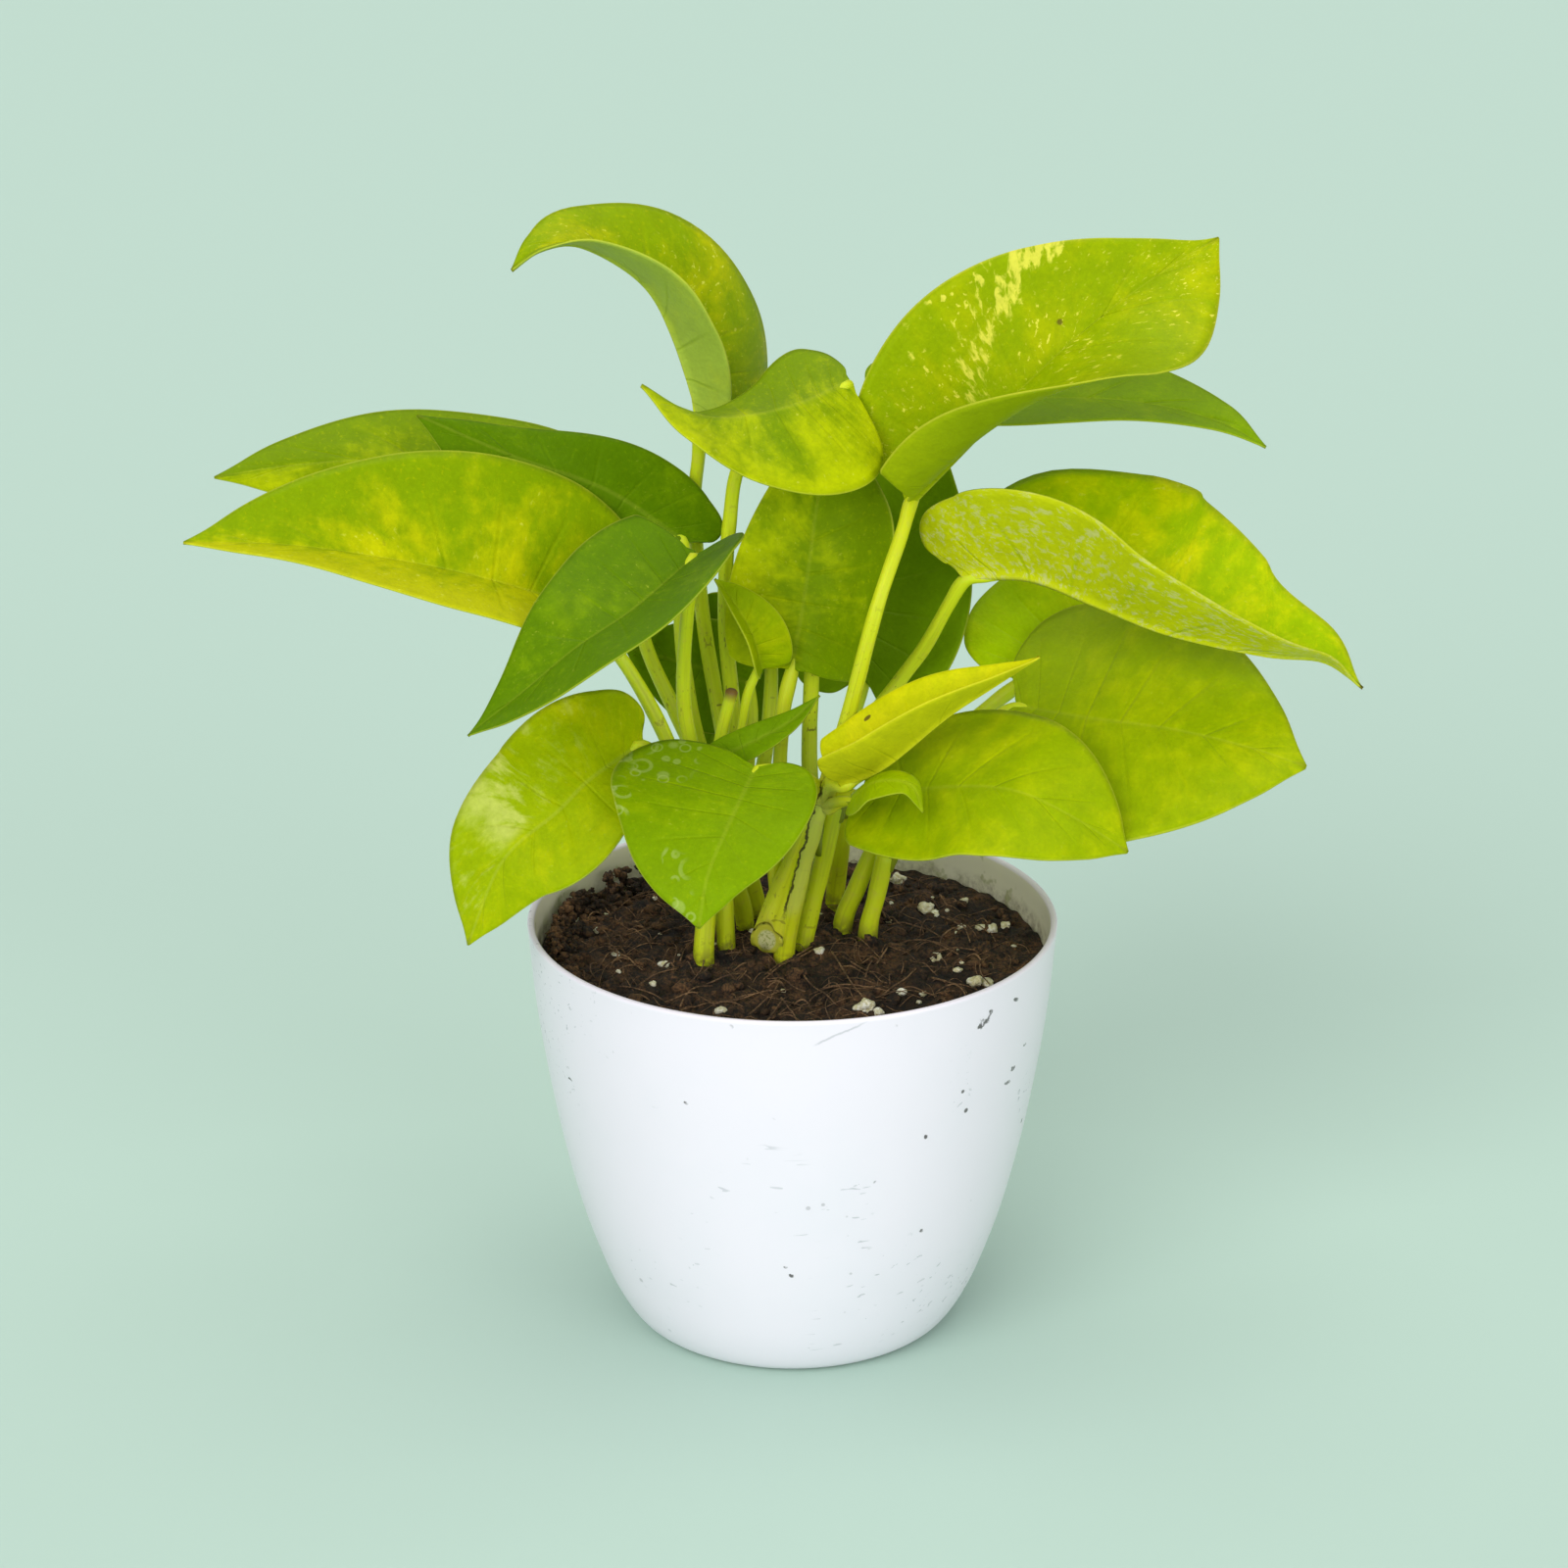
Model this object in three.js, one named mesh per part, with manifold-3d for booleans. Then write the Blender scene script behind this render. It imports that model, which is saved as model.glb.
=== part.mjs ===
// Potted golden pothos: a young plant of several rooted cuttings in a tapered white plastic pot.
// Millimetres, +Z up. The origin is the middle of the pot's underside, and -Y is the front.

import * as THREE from "three";
import { mergeVertices } from "three/addons/utils/BufferGeometryUtils.js";
import Module from "manifold-3d";

// Driving dimensions
const GAP = 0.3; // clearance left between pieces that touch on the real plant
const POT_HEIGHT = 97;
const POT_RIM_RADIUS = 60;
const POT_WALL = 1.6;
const POT_FLOOR = 2.4;
const INNER_FOOT = 8; // height at which the inside curves in to the floor
const LIP_ROUND = 0.5;
const SOIL_TOP = 89; // mean height of the potting mix
const SOIL_MOUND = 1.6; // how much higher it lies round the stems
const SOIL_CRUMB = 0.9; // height of its coarse crumbs
const BLADE = 0.8; // leaf thickness
const NARROW = 6; // where the halves of a blade are narrower than this, it thins out to its points
const POINT_SHARE = 0.15; // thickness left at the points, as a share of the blade's
const STEM_SIDES = 7;
const POT_SIDES = 48;

// Finishes
const finish = (colour, roughness) =>
  new THREE.MeshStandardMaterial({ color: colour, roughness, metalness: 0, side: THREE.DoubleSide });
const POT_WHITE = finish(0xe9ecf4, 0.35);
const SOIL_BROWN = finish(0x2b1d14, 0.95);
const STEM_GREEN = finish(0xa9b52f, 0.5);
const LEAF_LIME = finish(0x9fbf12, 0.4);
const LEAF_GREEN = finish(0x5f9a12, 0.42);
const LEAF_YELLOW = finish(0xd2d21c, 0.42);
const LEAF_COLOURS = {
  leaf_top_right: LEAF_LIME,
  leaf_left_large: LEAF_LIME,
  leaf_low_left: LEAF_LIME,
  leaf_low_right: LEAF_LIME,
  leaf_right_large: LEAF_LIME,
  leaf_young_furled: LEAF_YELLOW,
};

const wasm = await Module();
wasm.setup();

const vector = ([x, y, z]) => new THREE.Vector3(x, y, z);
const smoothCurve = (points) => new THREE.CatmullRomCurve3(points.map(vector), false, "catmullrom", 0.5);
const blend = (a, b, t) => a + (b - a) * t;

// Closed meshes

function meshFrom(vertices, triangles) {
  // Turns every face outwards: the signed volume of the corners tells which way they wind.
  let volume = 0;
  const cross = new THREE.Vector3();
  for (const [a, b, c] of triangles) {
    volume += vertices[a].dot(cross.crossVectors(vertices[b], vertices[c]));
  }
  const order = volume > 0 ? triangles : triangles.map(([a, b, c]) => [a, c, b]);
  const geometry = new THREE.BufferGeometry();
  const flat = vertices.flatMap((p) => [p.x, p.y, p.z]);
  geometry.setAttribute("position", new THREE.Float32BufferAttribute(flat, 3));
  geometry.setIndex(order.flat());
  return geometry;
}

function solidFrom(geometry) {
  const bare = geometry.clone();
  bare.deleteAttribute("normal");
  bare.deleteAttribute("uv");
  const merged = mergeVertices(bare, 1e-3);
  const mesh = new wasm.Mesh({
    numProp: 3,
    vertProperties: Float32Array.from(merged.attributes.position.array),
    triVerts: Uint32Array.from(merged.index.array),
  });
  return new wasm.Manifold(mesh);
}

function geometryFrom(solid) {
  const mesh = solid.getMesh();
  const geometry = new THREE.BufferGeometry();
  geometry.setAttribute("position", new THREE.BufferAttribute(Float32Array.from(mesh.vertProperties), 3));
  geometry.setIndex(Array.from(mesh.triVerts));
  return geometry;
}

function largestBody(solid) {
  return solid.decompose().reduce((best, body) => (body.volume() > best.volume() ? body : best));
}

// Round stalk: rings of points carried along a smooth curve, closed by a fan at each end
function stalk(points, radii, steps, grow = 0) {
  const curve = smoothCurve(points);
  const frames = curve.computeFrenetFrames(steps, false);
  const beyond = (i) => (i === 0 ? -grow : i === steps ? grow : 0);
  const centreAt = (i) => curve.getPointAt(i / steps).addScaledVector(frames.tangents[i], beyond(i));
  const vertices = [];
  for (let i = 0; i <= steps; i += 1) {
    const centre = centreAt(i);
    const radius = blend(radii[0], radii[1], i / steps) + grow;
    for (let k = 0; k < STEM_SIDES; k += 1) {
      const angle = (2 * Math.PI * k) / STEM_SIDES;
      const point = centre.clone();
      point.addScaledVector(frames.normals[i], radius * Math.cos(angle));
      point.addScaledVector(frames.binormals[i], radius * Math.sin(angle));
      vertices.push(point);
    }
  }
  const triangles = [];
  for (let i = 0; i < steps; i += 1) {
    for (let k = 0; k < STEM_SIDES; k += 1) {
      const next = (k + 1) % STEM_SIDES;
      const [a, b] = [i * STEM_SIDES + k, i * STEM_SIDES + next];
      triangles.push([a, b, b + STEM_SIDES], [a, b + STEM_SIDES, a + STEM_SIDES]);
    }
  }
  const foot = vertices.push(centreAt(0)) - 1;
  const head = vertices.push(centreAt(steps)) - 1;
  const last = steps * STEM_SIDES;
  for (let k = 0; k < STEM_SIDES; k += 1) {
    const next = (k + 1) % STEM_SIDES;
    triangles.push([foot, next, k], [head, last + k, last + next]);
  }
  return meshFrom(vertices, triangles);
}

// Leaf blade. The flat outline of a pothos leaf runs from the stalk round the basal lobe to the
// drip tip, as shares of the half width and of the length. Every leaf uses it, with its own widths.
const OUTLINE = smoothCurve([
  [0.045, 0, 0],
  [0.3, -0.085, 0],
  [0.68, -0.07, 0],
  [0.93, 0.07, 0],
  [1, 0.26, 0],
  [0.92, 0.47, 0],
  [0.7, 0.68, 0],
  [0.4, 0.85, 0],
  [0.14, 0.95, 0],
  [0.03, 1, 0],
]);
const BASE_DIP = 0.016; // how far the blade reaches back beside the stalk, as a share of its length
const BASE_END = 0.05; // share of the outline over which it does so
const RIB_SPREAD = 1.1; // side veins start close together at the stalk and wider apart beyond
const WAVE_SHIFT = 1.7; // the two margins wave out of step

const PLAIN_LEAF = {
  lobe: [1, 1], // how far the basal lobes reach back
  belly: [0, 0], // moves the widest place towards the tip
  shoulder: [0, 0], // narrows the blade at the stalk
  taper: [0.2, 0.2], // narrows the blade towards the tip
  fold: [[0, 0], [0, 0]], // rise of each half at the rib, at the stalk and at the tip, in degrees
  curl: [[0, 0], [0, 0]], // further turn from rib to margin
  wave: [0, 1, 0], // height of the margin's wave, its turns along the margin, and its start
  margin: 0, // grows the outline on every side, in millimetres
  rows: 11,
  columns: 3,
};

// One place on the middle surface of a blade: side 0 is left and 1 is right, seen from the stalk.
// The midrib curve carries the blade, and each half leaves it at the fold angle and turns by the curl.
function bladePoint(leaf, side, u, v) {
  const { rib, face, half, lobe, belly, shoulder, taper, fold, curl, wave } = leaf;
  const margin = leaf.margin;
  const length = rib.getLength();
  const edge = OUTLINE.getPoint(u);
  const dip = BASE_DIP * Math.max(0, 1 - u / BASE_END);
  const back = (edge.y < 0 ? edge.y * lobe[side] : edge.y) - dip;
  const along = back + belly[side] * Math.sin(Math.PI * Math.max(back, 0));
  const onBlade = Math.min(Math.max(along, 0), 1);
  const narrowing = (1 - shoulder[side] * (1 - onBlade) ** 3) * (1 - taper[side] * onBlade ** 3);
  const share = v * (edge.x * narrowing + margin / half[side]);
  const start = u ** RIB_SPREAD;
  const station = (start + (along - start) * v) * length - margin;
  const t = Math.min(Math.max(station / length, 0), 1);
  const tangent = rib.getTangentAt(t);
  const normal = vector(face[0]).lerp(vector(face[1]), t);
  normal.addScaledVector(tangent, -normal.dot(tangent)).normalize();
  const across = new THREE.Vector3().crossVectors(tangent, normal);
  const rise = THREE.MathUtils.degToRad(blend(fold[side][0], fold[side][1], t));
  const turn = THREE.MathUtils.degToRad(blend(curl[side][0], curl[side][1], t)) || 1e-3;
  const reach = (half[side] * (Math.sin(rise + turn * share) - Math.sin(rise))) / turn;
  const phase = wave[2] + side * WAVE_SHIFT;
  const ripple = wave[0] * Math.sin(2 * Math.PI * wave[1] * u + phase) * v * v * Math.sin(Math.PI * u);
  const lift = (half[side] * (Math.cos(rise) - Math.cos(rise + turn * share))) / turn + ripple;
  const point = rib.getPointAt(t);
  point.addScaledVector(across, side === 0 ? -reach : reach);
  point.addScaledVector(normal, lift);
  point.addScaledVector(tangent, Math.min(station, 0));
  return point;
}

// Closed blade: the middle surface moved half the thickness to each side, with a rim between.
// Both faces are split into the same triangles. Clearance makes it thicker on both sides.
function blade(leaf, clearance = 0) {
  const { rows, columns } = leaf;
  const width = 2 * columns + 1;
  const narrow = Math.min(NARROW, 0.8 * Math.min(...leaf.half));
  const middle = [];
  const depths = [];
  for (let i = 0; i <= rows; i += 1) {
    const row = [];
    for (let j = -columns; j <= columns; j += 1) {
      row.push(bladePoint(leaf, j < 0 ? 0 : 1, i / rows, Math.abs(j) / columns));
    }
    const reach = Math.min(row[columns].distanceTo(row[0]), row[columns].distanceTo(row[width - 1]));
    const depth = (BLADE / 2) * Math.min(1, Math.max(POINT_SHARE, reach / narrow)) + clearance;
    middle.push(...row);
    depths.push(...row.map(() => depth));
  }
  const faces = [];
  for (let i = 0; i < rows; i += 1) {
    for (let j = 0; j < width - 1; j += 1) {
      const [a, b] = [i * width + j, i * width + j + 1];
      const [c, d] = [a + width, b + width];
      if (j < columns) faces.push([a, b, c], [b, d, c]);
      else faces.push([a, b, d], [a, d, c]);
    }
  }
  const normals = middle.map(() => new THREE.Vector3());
  for (const [a, b, c] of faces) {
    const p = new THREE.Vector3().subVectors(middle[b], middle[a]);
    const q = new THREE.Vector3().subVectors(middle[c], middle[a]);
    const normal = new THREE.Vector3().crossVectors(p, q).normalize();
    [a, b, c].forEach((corner) => normals[corner].add(normal));
  }
  const count = middle.length;
  const offset = (side) => middle.map((p, k) =>
    p.clone().addScaledVector(normals[k].clone().normalize(), side * depths[k]));
  const vertices = [...offset(1), ...offset(-1)];
  const triangles = faces.flatMap(([a, b, c]) => [[a, b, c], [a + count, c + count, b + count]]);
  const border = [];
  for (let j = 0; j < width - 1; j += 1) border.push([j + 1, j], [rows * width + j, rows * width + j + 1]);
  for (let i = 0; i < rows; i += 1) {
    border.push([i * width, (i + 1) * width]);
    border.push([(i + 2) * width - 1, (i + 1) * width - 1]);
  }
  for (const [a, b] of border) triangles.push([a, b, b + count], [a, b + count, a + count]);
  return meshFrom(vertices, triangles);
}

// The leaves. A rib runs from the stalk to the tip, face is the way the upper side looks at the
// stalk and at the tip, and half gives the left and right half widths.
const LEAVES = {
  leaf_tall_left: {
    rib: [[-20, 26, 205], [-26, 26, 225], [-33, 24, 238], [-46, 20, 247], [-55, 16, 247], [-61, 13, 243]],
    face: [[0.7, -0.7, 0.1], [0, -0.2, 1]],
    half: [22, 26],
    lobe: [0, 0.8],
    belly: [0.1, -0.08],
    shoulder: [0.6, 0],
    taper: [0.8, 0.3],
    fold: [[100, 20], [20, 10]],
    curl: [[0, 30], [-50, 10]],
    rows: 13,
  },
  leaf_top_middle: {
    rib: [[12, -1, 222], [0, -9, 219], [-14, -15, 218], [-23, -19, 221], [-32, -21, 227]],
    face: [[0, -0.3, 1], [0, 0.1, 1]],
    half: [26, 17],
    lobe: [0.1, 0.6],
    belly: [-0.15, -0.22],
    shoulder: [0.25, 0],
    taper: [0.2, 0.7],
    fold: [[-35, -25], [0, -10]],
    curl: [[-20, 0], [10, -10]],
    rows: 12,
  },
  leaf_top_right: {
    rib: [[26, -5, 197], [51, -1, 222], [65, 3, 234], [78, 7, 243], [92, 11, 251]],
    face: [[-0.1, -1, 0.2], [0, -1, 0.3]],
    half: [33, 33],
    lobe: [0, 0],
    belly: [0.02, 0.14],
    shoulder: [0.3, 0.35],
    taper: [0.7, 0.1],
    fold: [[0, 0], [90, 20]],
    curl: [[10, 0], [120, -35]],
    rows: 13,
    columns: 5,
  },
  leaf_back_right: {
    rib: [[24, 20, 212], [48, 21, 212], [74, 19, 212], [93, 14, 209], [104, 10, 204]],
    face: [[0, -0.3, 1], [0, -0.3, 1]],
    half: [18, 15],
    fold: [[10, 10], [10, 10]],
  },
  leaf_middle_upright: {
    rib: [[0, -4, 158], [3, 2, 175], [6, 9, 195], [10, 14, 210]],
    face: [[-0.1, -1, 0.2], [0.1, -1, 0.2]],
    half: [17, 26],
    lobe: [0.3, 0.3],
    curl: [[0, 10], [100, 60]],
    rows: 12,
    columns: 4,
  },
  leaf_middle_back: {
    rib: [[16, 14, 149], [22, 26, 166], [26, 36, 186], [30, 42, 205]],
    face: [[-0.2, -0.9, 0.3], [-0.2, -0.9, 0.3]],
    half: [20, 20],
    fold: [[10, 10], [10, 10]],
  },
  leaf_small_hooded: {
    rib: [[-7, -8, 159], [-9, -9, 167], [-13, -8, 174], [-17, -6, 179]],
    face: [[0.3, -0.9, 0.2], [0.3, -0.9, 0.2]],
    half: [6, 8],
    lobe: [0.3, 0.3],
    fold: [[60, 60], [10, 10]],
    curl: [[0, 0], [30, 0]],
    rows: 8,
    columns: 2,
  },
  leaf_inner_left: {
    rib: [[-10, 22, 145], [-22, 22, 149], [-38, 18, 155]],
    face: [[0, -0.9, 0.4], [0, -0.9, 0.4]],
    half: [14, 12],
    fold: [[0, 0], [10, 10]],
    rows: 9,
  },
  leaf_inner_hanging: {
    rib: [[-10, 28, 160], [-14, 36, 139], [-20, 41, 120]],
    face: [[0, -0.8, 0.5], [0, -0.8, 0.5]],
    half: [14, 14],
    fold: [[0, 0], [10, 10]],
    rows: 9,
  },
  leaf_left_front: {
    rib: [[-21, -15, 187], [-34, -27, 179], [-46, -35, 173], [-57, -40, 165], [-69, -43, 156]],
    face: [[-0.2, -0.6, 0.75], [-0.2, -0.7, 0.7]],
    half: [20, 21],
    lobe: [1.2, 0.2],
    belly: [0, -0.05],
    taper: [0.2, 0.7],
    fold: [[40, 30], [0, 0]],
    curl: [[0, 0], [10, 0]],
    rows: 12,
  },
  leaf_left_upper: {
    rib: [[-24, 18.5, 179.5], [-41, 18.5, 191.5], [-62, 18.5, 199.5], [-83, 16.5, 209.5]],
    face: [[0, -0.5, 0.85], [0, -0.5, 0.85]],
    half: [18, 13.5],
    belly: [0, -0.08],
    fold: [[-45, -30], [15, 0]],
    curl: [[0, 0], [10, 0]],
    rows: 12,
  },
  leaf_left_back: {
    rib: [[-37, 28, 182], [-63, 30, 190], [-89, 26, 196], [-110, 20, 197], [-128, 14, 196]],
    face: [[0, -0.5, 0.85], [0, -0.5, 0.85]],
    half: [20, 18],
    fold: [[-40, -20], [0, 10]],
    rows: 12,
  },
  leaf_left_large: {
    rib: [[-45, 0, 170], [-70, -7, 180], [-91, -12, 186], [-111, -16, 190], [-131, -18, 191]],
    face: [[0, -0.5, 0.85], [0, -0.5, 0.85]],
    half: [23, 29],
    taper: [0.4, 0.3],
    fold: [[30, 30], [25, 20]],
    curl: [[-10, 0], [0, 0]],
    rows: 13,
    columns: 4,
  },
  leaf_low_left: {
    rib: [[-33, -18, 145], [-44, -24, 139], [-51, -28, 133], [-63, -32, 123], [-71, -34, 104]],
    face: [[-0.3, -0.7, 0.6], [-0.3, -0.9, 0.3]],
    half: [19, 21],
    lobe: [0.2, 1],
    shoulder: [0.6, 0],
    rows: 12,
  },
  leaf_low_middle: {
    rib: [[-8, -28, 143], [-13, -42, 137], [-18, -52, 128], [-20, -58, 118]],
    face: [[-0.1, -0.65, 0.75], [-0.1, -0.8, 0.6]],
    half: [16, 29],
    rows: 12,
  },
  leaf_narrow: {
    rib: [[-17, -14, 140], [-8, -16, 145], [0, -14, 149], [6, -12, 154]],
    face: [[0, -0.8, 0.5], [0, -0.4, 0.9]],
    half: [4, 4],
    fold: [[10, 10], [10, 10]],
    rows: 8,
    columns: 2,
  },
  leaf_young_furled: {
    rib: [[11, -24, 138], [20, -26, 143], [33, -28, 155], [43, -28, 162], [53, -26, 168]],
    face: [[-0.5, -0.2, 0.8], [-0.5, -0.2, 0.8]],
    half: [13, 13.5],
    lobe: [0.3, 0.3],
    taper: [0.6, 0.6],
    fold: [[80, 55], [60, 50]],
    curl: [[-30, -30], [20, 0]],
    rows: 11,
  },
  leaf_small_curled: {
    rib: [[13, -28, 136], [18, -34, 142], [25, -38, 143], [28, -39, 137]],
    face: [[0, -0.6, 0.8], [0.4, -0.6, 0.8]],
    half: [5, 5],
    curl: [[-40, -40], [0, 0]],
    rows: 8,
    columns: 2,
  },
  leaf_low_right: {
    rib: [[15, -16, 132], [35, -26, 138], [48, -34, 140], [60, -39, 136], [72, -42, 129]],
    face: [[0.2, -0.6, 0.75], [0.2, -0.6, 0.75]],
    half: [25, 22],
    lobe: [0, 0.3],
    belly: [0.1, 0.1],
    shoulder: [0.5, 0.3],
    rows: 12,
  },
  leaf_right_large: {
    rib: [[50, 4, 146], [65, -4, 146], [84, -12, 146], [100, -18, 144], [112, -22, 141]],
    face: [[0.35, -0.6, 0.7], [0.35, -0.6, 0.7]],
    half: [38, 36],
    belly: [0, 0.08],
    rows: 13,
    columns: 4,
  },
  leaf_right_folded: {
    rib: [
      [38, 2, 177],
      [52, -2, 178],
      [67, -6, 173],
      [82, -10, 168],
      [103, -10, 163],
      [117, -6, 160],
      [126, -4, 153],
    ],
    face: [[0.1, 0.1, 1], [0.3, -0.2, 1]],
    half: [43, 25],
    lobe: [0, 1],
    belly: [0.07, -0.05],
    shoulder: [0.5, 0],
    taper: [0.75, 0.7],
    fold: [[45, 40], [65, 40]],
    rows: 18,
    columns: 4,
  },
  leaf_right_back: {
    rib: [[52, 18, 147], [65, 28, 154], [79, 36, 161], [95, 42, 168]],
    face: [[-0.2, -0.8, 0.5], [-0.2, -0.8, 0.5]],
    half: [22, 20],
  },
};

// The cuttings. Each stands in the mix with the foot of its trunk and carries the stalks of its
// leaves. A stalk starts inside its cutting and goes on from its last point to the leaf's base.
// The radii are at the foot and at the head.
const TRUNK_RADII = [2.5, 2];
const STALK_RADII = [1.9, 1.4];
const THIN_RADII = [1.3, 0.9];
const CUTTINGS = {
  stem_left_front: {
    trunk: [[-20, -8, 65], [-20, -8, 89], [-19.5, -6, 101], [-20.5, -5, 114]],
    stalks: {
      leaf_left_large: [[-20.5, -5.5, 108], [-24, -4, 126], [-28, -2, 140], [-35, -1, 154], [-41, 0, 163]],
      leaf_low_left: [[-20.5, -6, 108], [-22, -9, 122], [-26, -14, 136]],
      leaf_narrow: [[-20, -7, 106], [-20, -10, 122], [-19, -13, 134]],
    },
  },
  stem_left_middle: {
    trunk: [[-15, -1, 65], [-15, -1, 89], [-15.6, 0, 103], [-17, 0.5, 114]],
    stalks: {
      leaf_left_front: [[-17, 0, 110], [-20, -1, 128], [-24, -3, 148], [-23, -8, 172]],
      leaf_small_hooded: [[-16.5, -1, 110], [-14, -4, 126], [-11.7, -5, 141], [-10, -6.5, 152]],
    },
    cutStalk: [[-16, -2, 110], [-16.5, -5, 128], [-16, -6, 141], [-13.4, -6.5, 153]],
  },
  stem_left_back: {
    trunk: [[-10.7, 10, 65], [-10.7, 10, 89], [-13, 6.5, 103], [-15, 6, 114]],
    stalks: {
      leaf_left_upper: [[-15, 6, 110], [-19, 6, 128], [-23, 7, 145], [-25, 10, 164]],
      leaf_left_back: [[-15, 6.5, 108], [-21, 7, 130], [-26, 9, 142], [-33, 14, 157], [-37, 23, 174]],
    },
  },
  stem_middle_back: {
    trunk: [[-7.8, 18, 65], [-7.8, 18, 89], [-11, 12, 106], [-12, 11, 116]],
    stalks: {
      leaf_tall_left: [[-11.5, 11, 110], [-15, 12, 132], [-20, 20, 160], [-22, 29, 184], [-21, 29, 197]],
      leaf_top_middle: [
        [-12, 11, 112],
        [-13, 11, 138],
        [-15, 10, 164],
        [-14, 10, 186],
        [-11, 8, 202],
        [0, 4, 213],
        [8, 1, 218],
      ],
      leaf_inner_left: [[-11.5, 12, 110], [-10.5, 14, 124], [-9.5, 18.5, 137]],
      leaf_inner_hanging: [[-10.5, 13, 110], [-6, 19, 130], [-5, 27, 152]],
    },
  },
  old_cane: {
    trunk: [[-2, -8, 65], [-2, -8, 89], [2, -10.5, 112], [7.4, -13, 134]],
    stalks: {
      leaf_top_right: [[7, -13, 131], [8.5, -15, 138], [12, -20, 152], [18, -21, 177], [23.5, -12, 191]],
      leaf_middle_upright: [[-2, -8, 92], [-4, -6, 115], [-3, -5.5, 131], [-2, -5, 148]],
      leaf_low_middle: [[6.5, -13, 130], [3, -19, 137], [-3, -25, 141]],
      leaf_young_furled: [[7.4, -14, 131], [8.6, -19, 136]],
      leaf_small_curled: [[7.5, -14, 129], [10, -21, 132.5]],
      leaf_low_right: [[7.5, -13, 128], [11, -14.5, 131]],
    },
    cutEnd: [[-6.6, -10.5, 92.8], [-5, -9, 97], [-1.5, -9, 108], [3, -11, 121], [7, -13, 132.5]],
  },
  stem_middle: {
    trunk: [[2.5, -1, 65], [2.5, -1, 89], [6, 0, 106], [9.5, 0.5, 123]],
    stalks: {
      leaf_right_folded: [[9.5, 0.5, 120], [15.6, 2, 139.7], [24, 4, 152], [29.5, 4, 160], [34.5, 3, 170]],
      leaf_back_right: [
        [7, 0, 112],
        [4, 0.5, 129],
        [4, 1, 147],
        [5.5, 3, 165],
        [12, 12, 188],
        [19, 18, 204],
      ],
    },
  },
  stem_back: {
    trunk: [[10, 26, 65], [10, 26, 89], [11, 20, 105], [11.5, 14, 119]],
    stalks: {
      leaf_middle_back: [[11.5, 14, 116], [12, 13, 130], [14, 13.5, 141]],
    },
  },
  stem_right_back: {
    trunk: [[11.4, 10, 65], [11.4, 10, 89], [15, 10, 100], [19, 10.5, 110]],
    stalks: {
      leaf_right_back: [[19, 10.5, 107], [27, 12, 122], [38, 14.5, 136]],
    },
  },
  stem_right_front: {
    trunk: [[17.1, 5, 65], [17.1, 5, 89], [19, 5.5, 99], [21, 6, 109]],
    stalks: {
      leaf_right_large: [[21, 6, 106], [27, 6, 120], [37, 5.5, 135], [45, 5, 142]],
    },
  },
};
const THIN_STALKS = ["leaf_narrow", "leaf_small_hooded", "leaf_small_curled"];
const CUT_END_RADII = [3.8, 1.8];
const CUT_STALK_RADII = [1.7, 1.4];
const STEPS_PER_POINT = 2; // rings of a stalk for each stretch between two of its points
const EDGE_SEATS = ["leaf_top_right", "leaf_low_right"]; // their stalks meet the edge of the blade's base
const BLADE_CLEARANCE = 1.3 * GAP; // kept between a stalk's head and its blade
const SIMPLE = 0.05; // facets of a cutting that are flatter than this are joined
const SEAT_DROP = 2; // how far under the blade's middle a stalk's head is centred
const CLOSE_SEATS = { leaf_left_front: 1, leaf_right_folded: 1.1, leaf_small_hooded: 1.3 };

function seatOf(name, leaf) {
  const drop = CLOSE_SEATS[name] ?? SEAT_DROP;
  const tangent = leaf.rib.getTangentAt(0);
  const normal = vector(leaf.face[0]);
  normal.addScaledVector(tangent, -normal.dot(tangent)).normalize();
  const away = EDGE_SEATS.includes(name) ? tangent : normal;
  return leaf.rib.getPointAt(0).addScaledVector(away, -drop).toArray();
}

function stalkSolid(points, radii, grow) {
  return solidFrom(stalk(points, radii, STEPS_PER_POINT * (points.length - 1), grow));
}

// One cutting as one body; its stalks end clear of their blades
function cuttingSolid({ trunk, stalks, cutEnd, cutStalk }, leaves, grow = 0) {
  let body = stalkSolid(trunk, TRUNK_RADII, grow);
  if (cutEnd) body = body.add(stalkSolid(cutEnd, CUT_END_RADII, grow));
  if (cutStalk) body = body.add(stalkSolid(cutStalk, CUT_STALK_RADII, grow));
  for (const [name, points] of Object.entries(stalks)) {
    const radii = THIN_STALKS.includes(name) ? THIN_RADII : STALK_RADII;
    const seat = seatOf(name, leaves[name]);
    body = body.add(stalkSolid([...points, seat], radii, grow));
  }
  for (const name of Object.keys(stalks)) {
    const leaf = leaves[name];
    body = body.subtract(solidFrom(blade({ ...leaf, margin: 2.5 * GAP }, BLADE_CLEARANCE)));
  }
  return largestBody(body).simplify(SIMPLE);
}

// Pot: outer radius at each height, from the rounded foot to the rim
const POT_PROFILE = [
  [35, 0],
  [37.6, 2],
  [40.8, 7],
  [44.3, 15],
  [49.2, 30],
  [53.8, 50],
  [57.9, 75],
  [60, 97],
];

function potRadius(z) {
  const above = POT_PROFILE.findIndex(([, height]) => height >= z);
  if (above <= 0) return POT_PROFILE[0][0];
  const [[r0, z0], [r1, z1]] = [POT_PROFILE[above - 1], POT_PROFILE[above]];
  return blend(r0, r1, (z - z0) / (z1 - z0));
}

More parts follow.
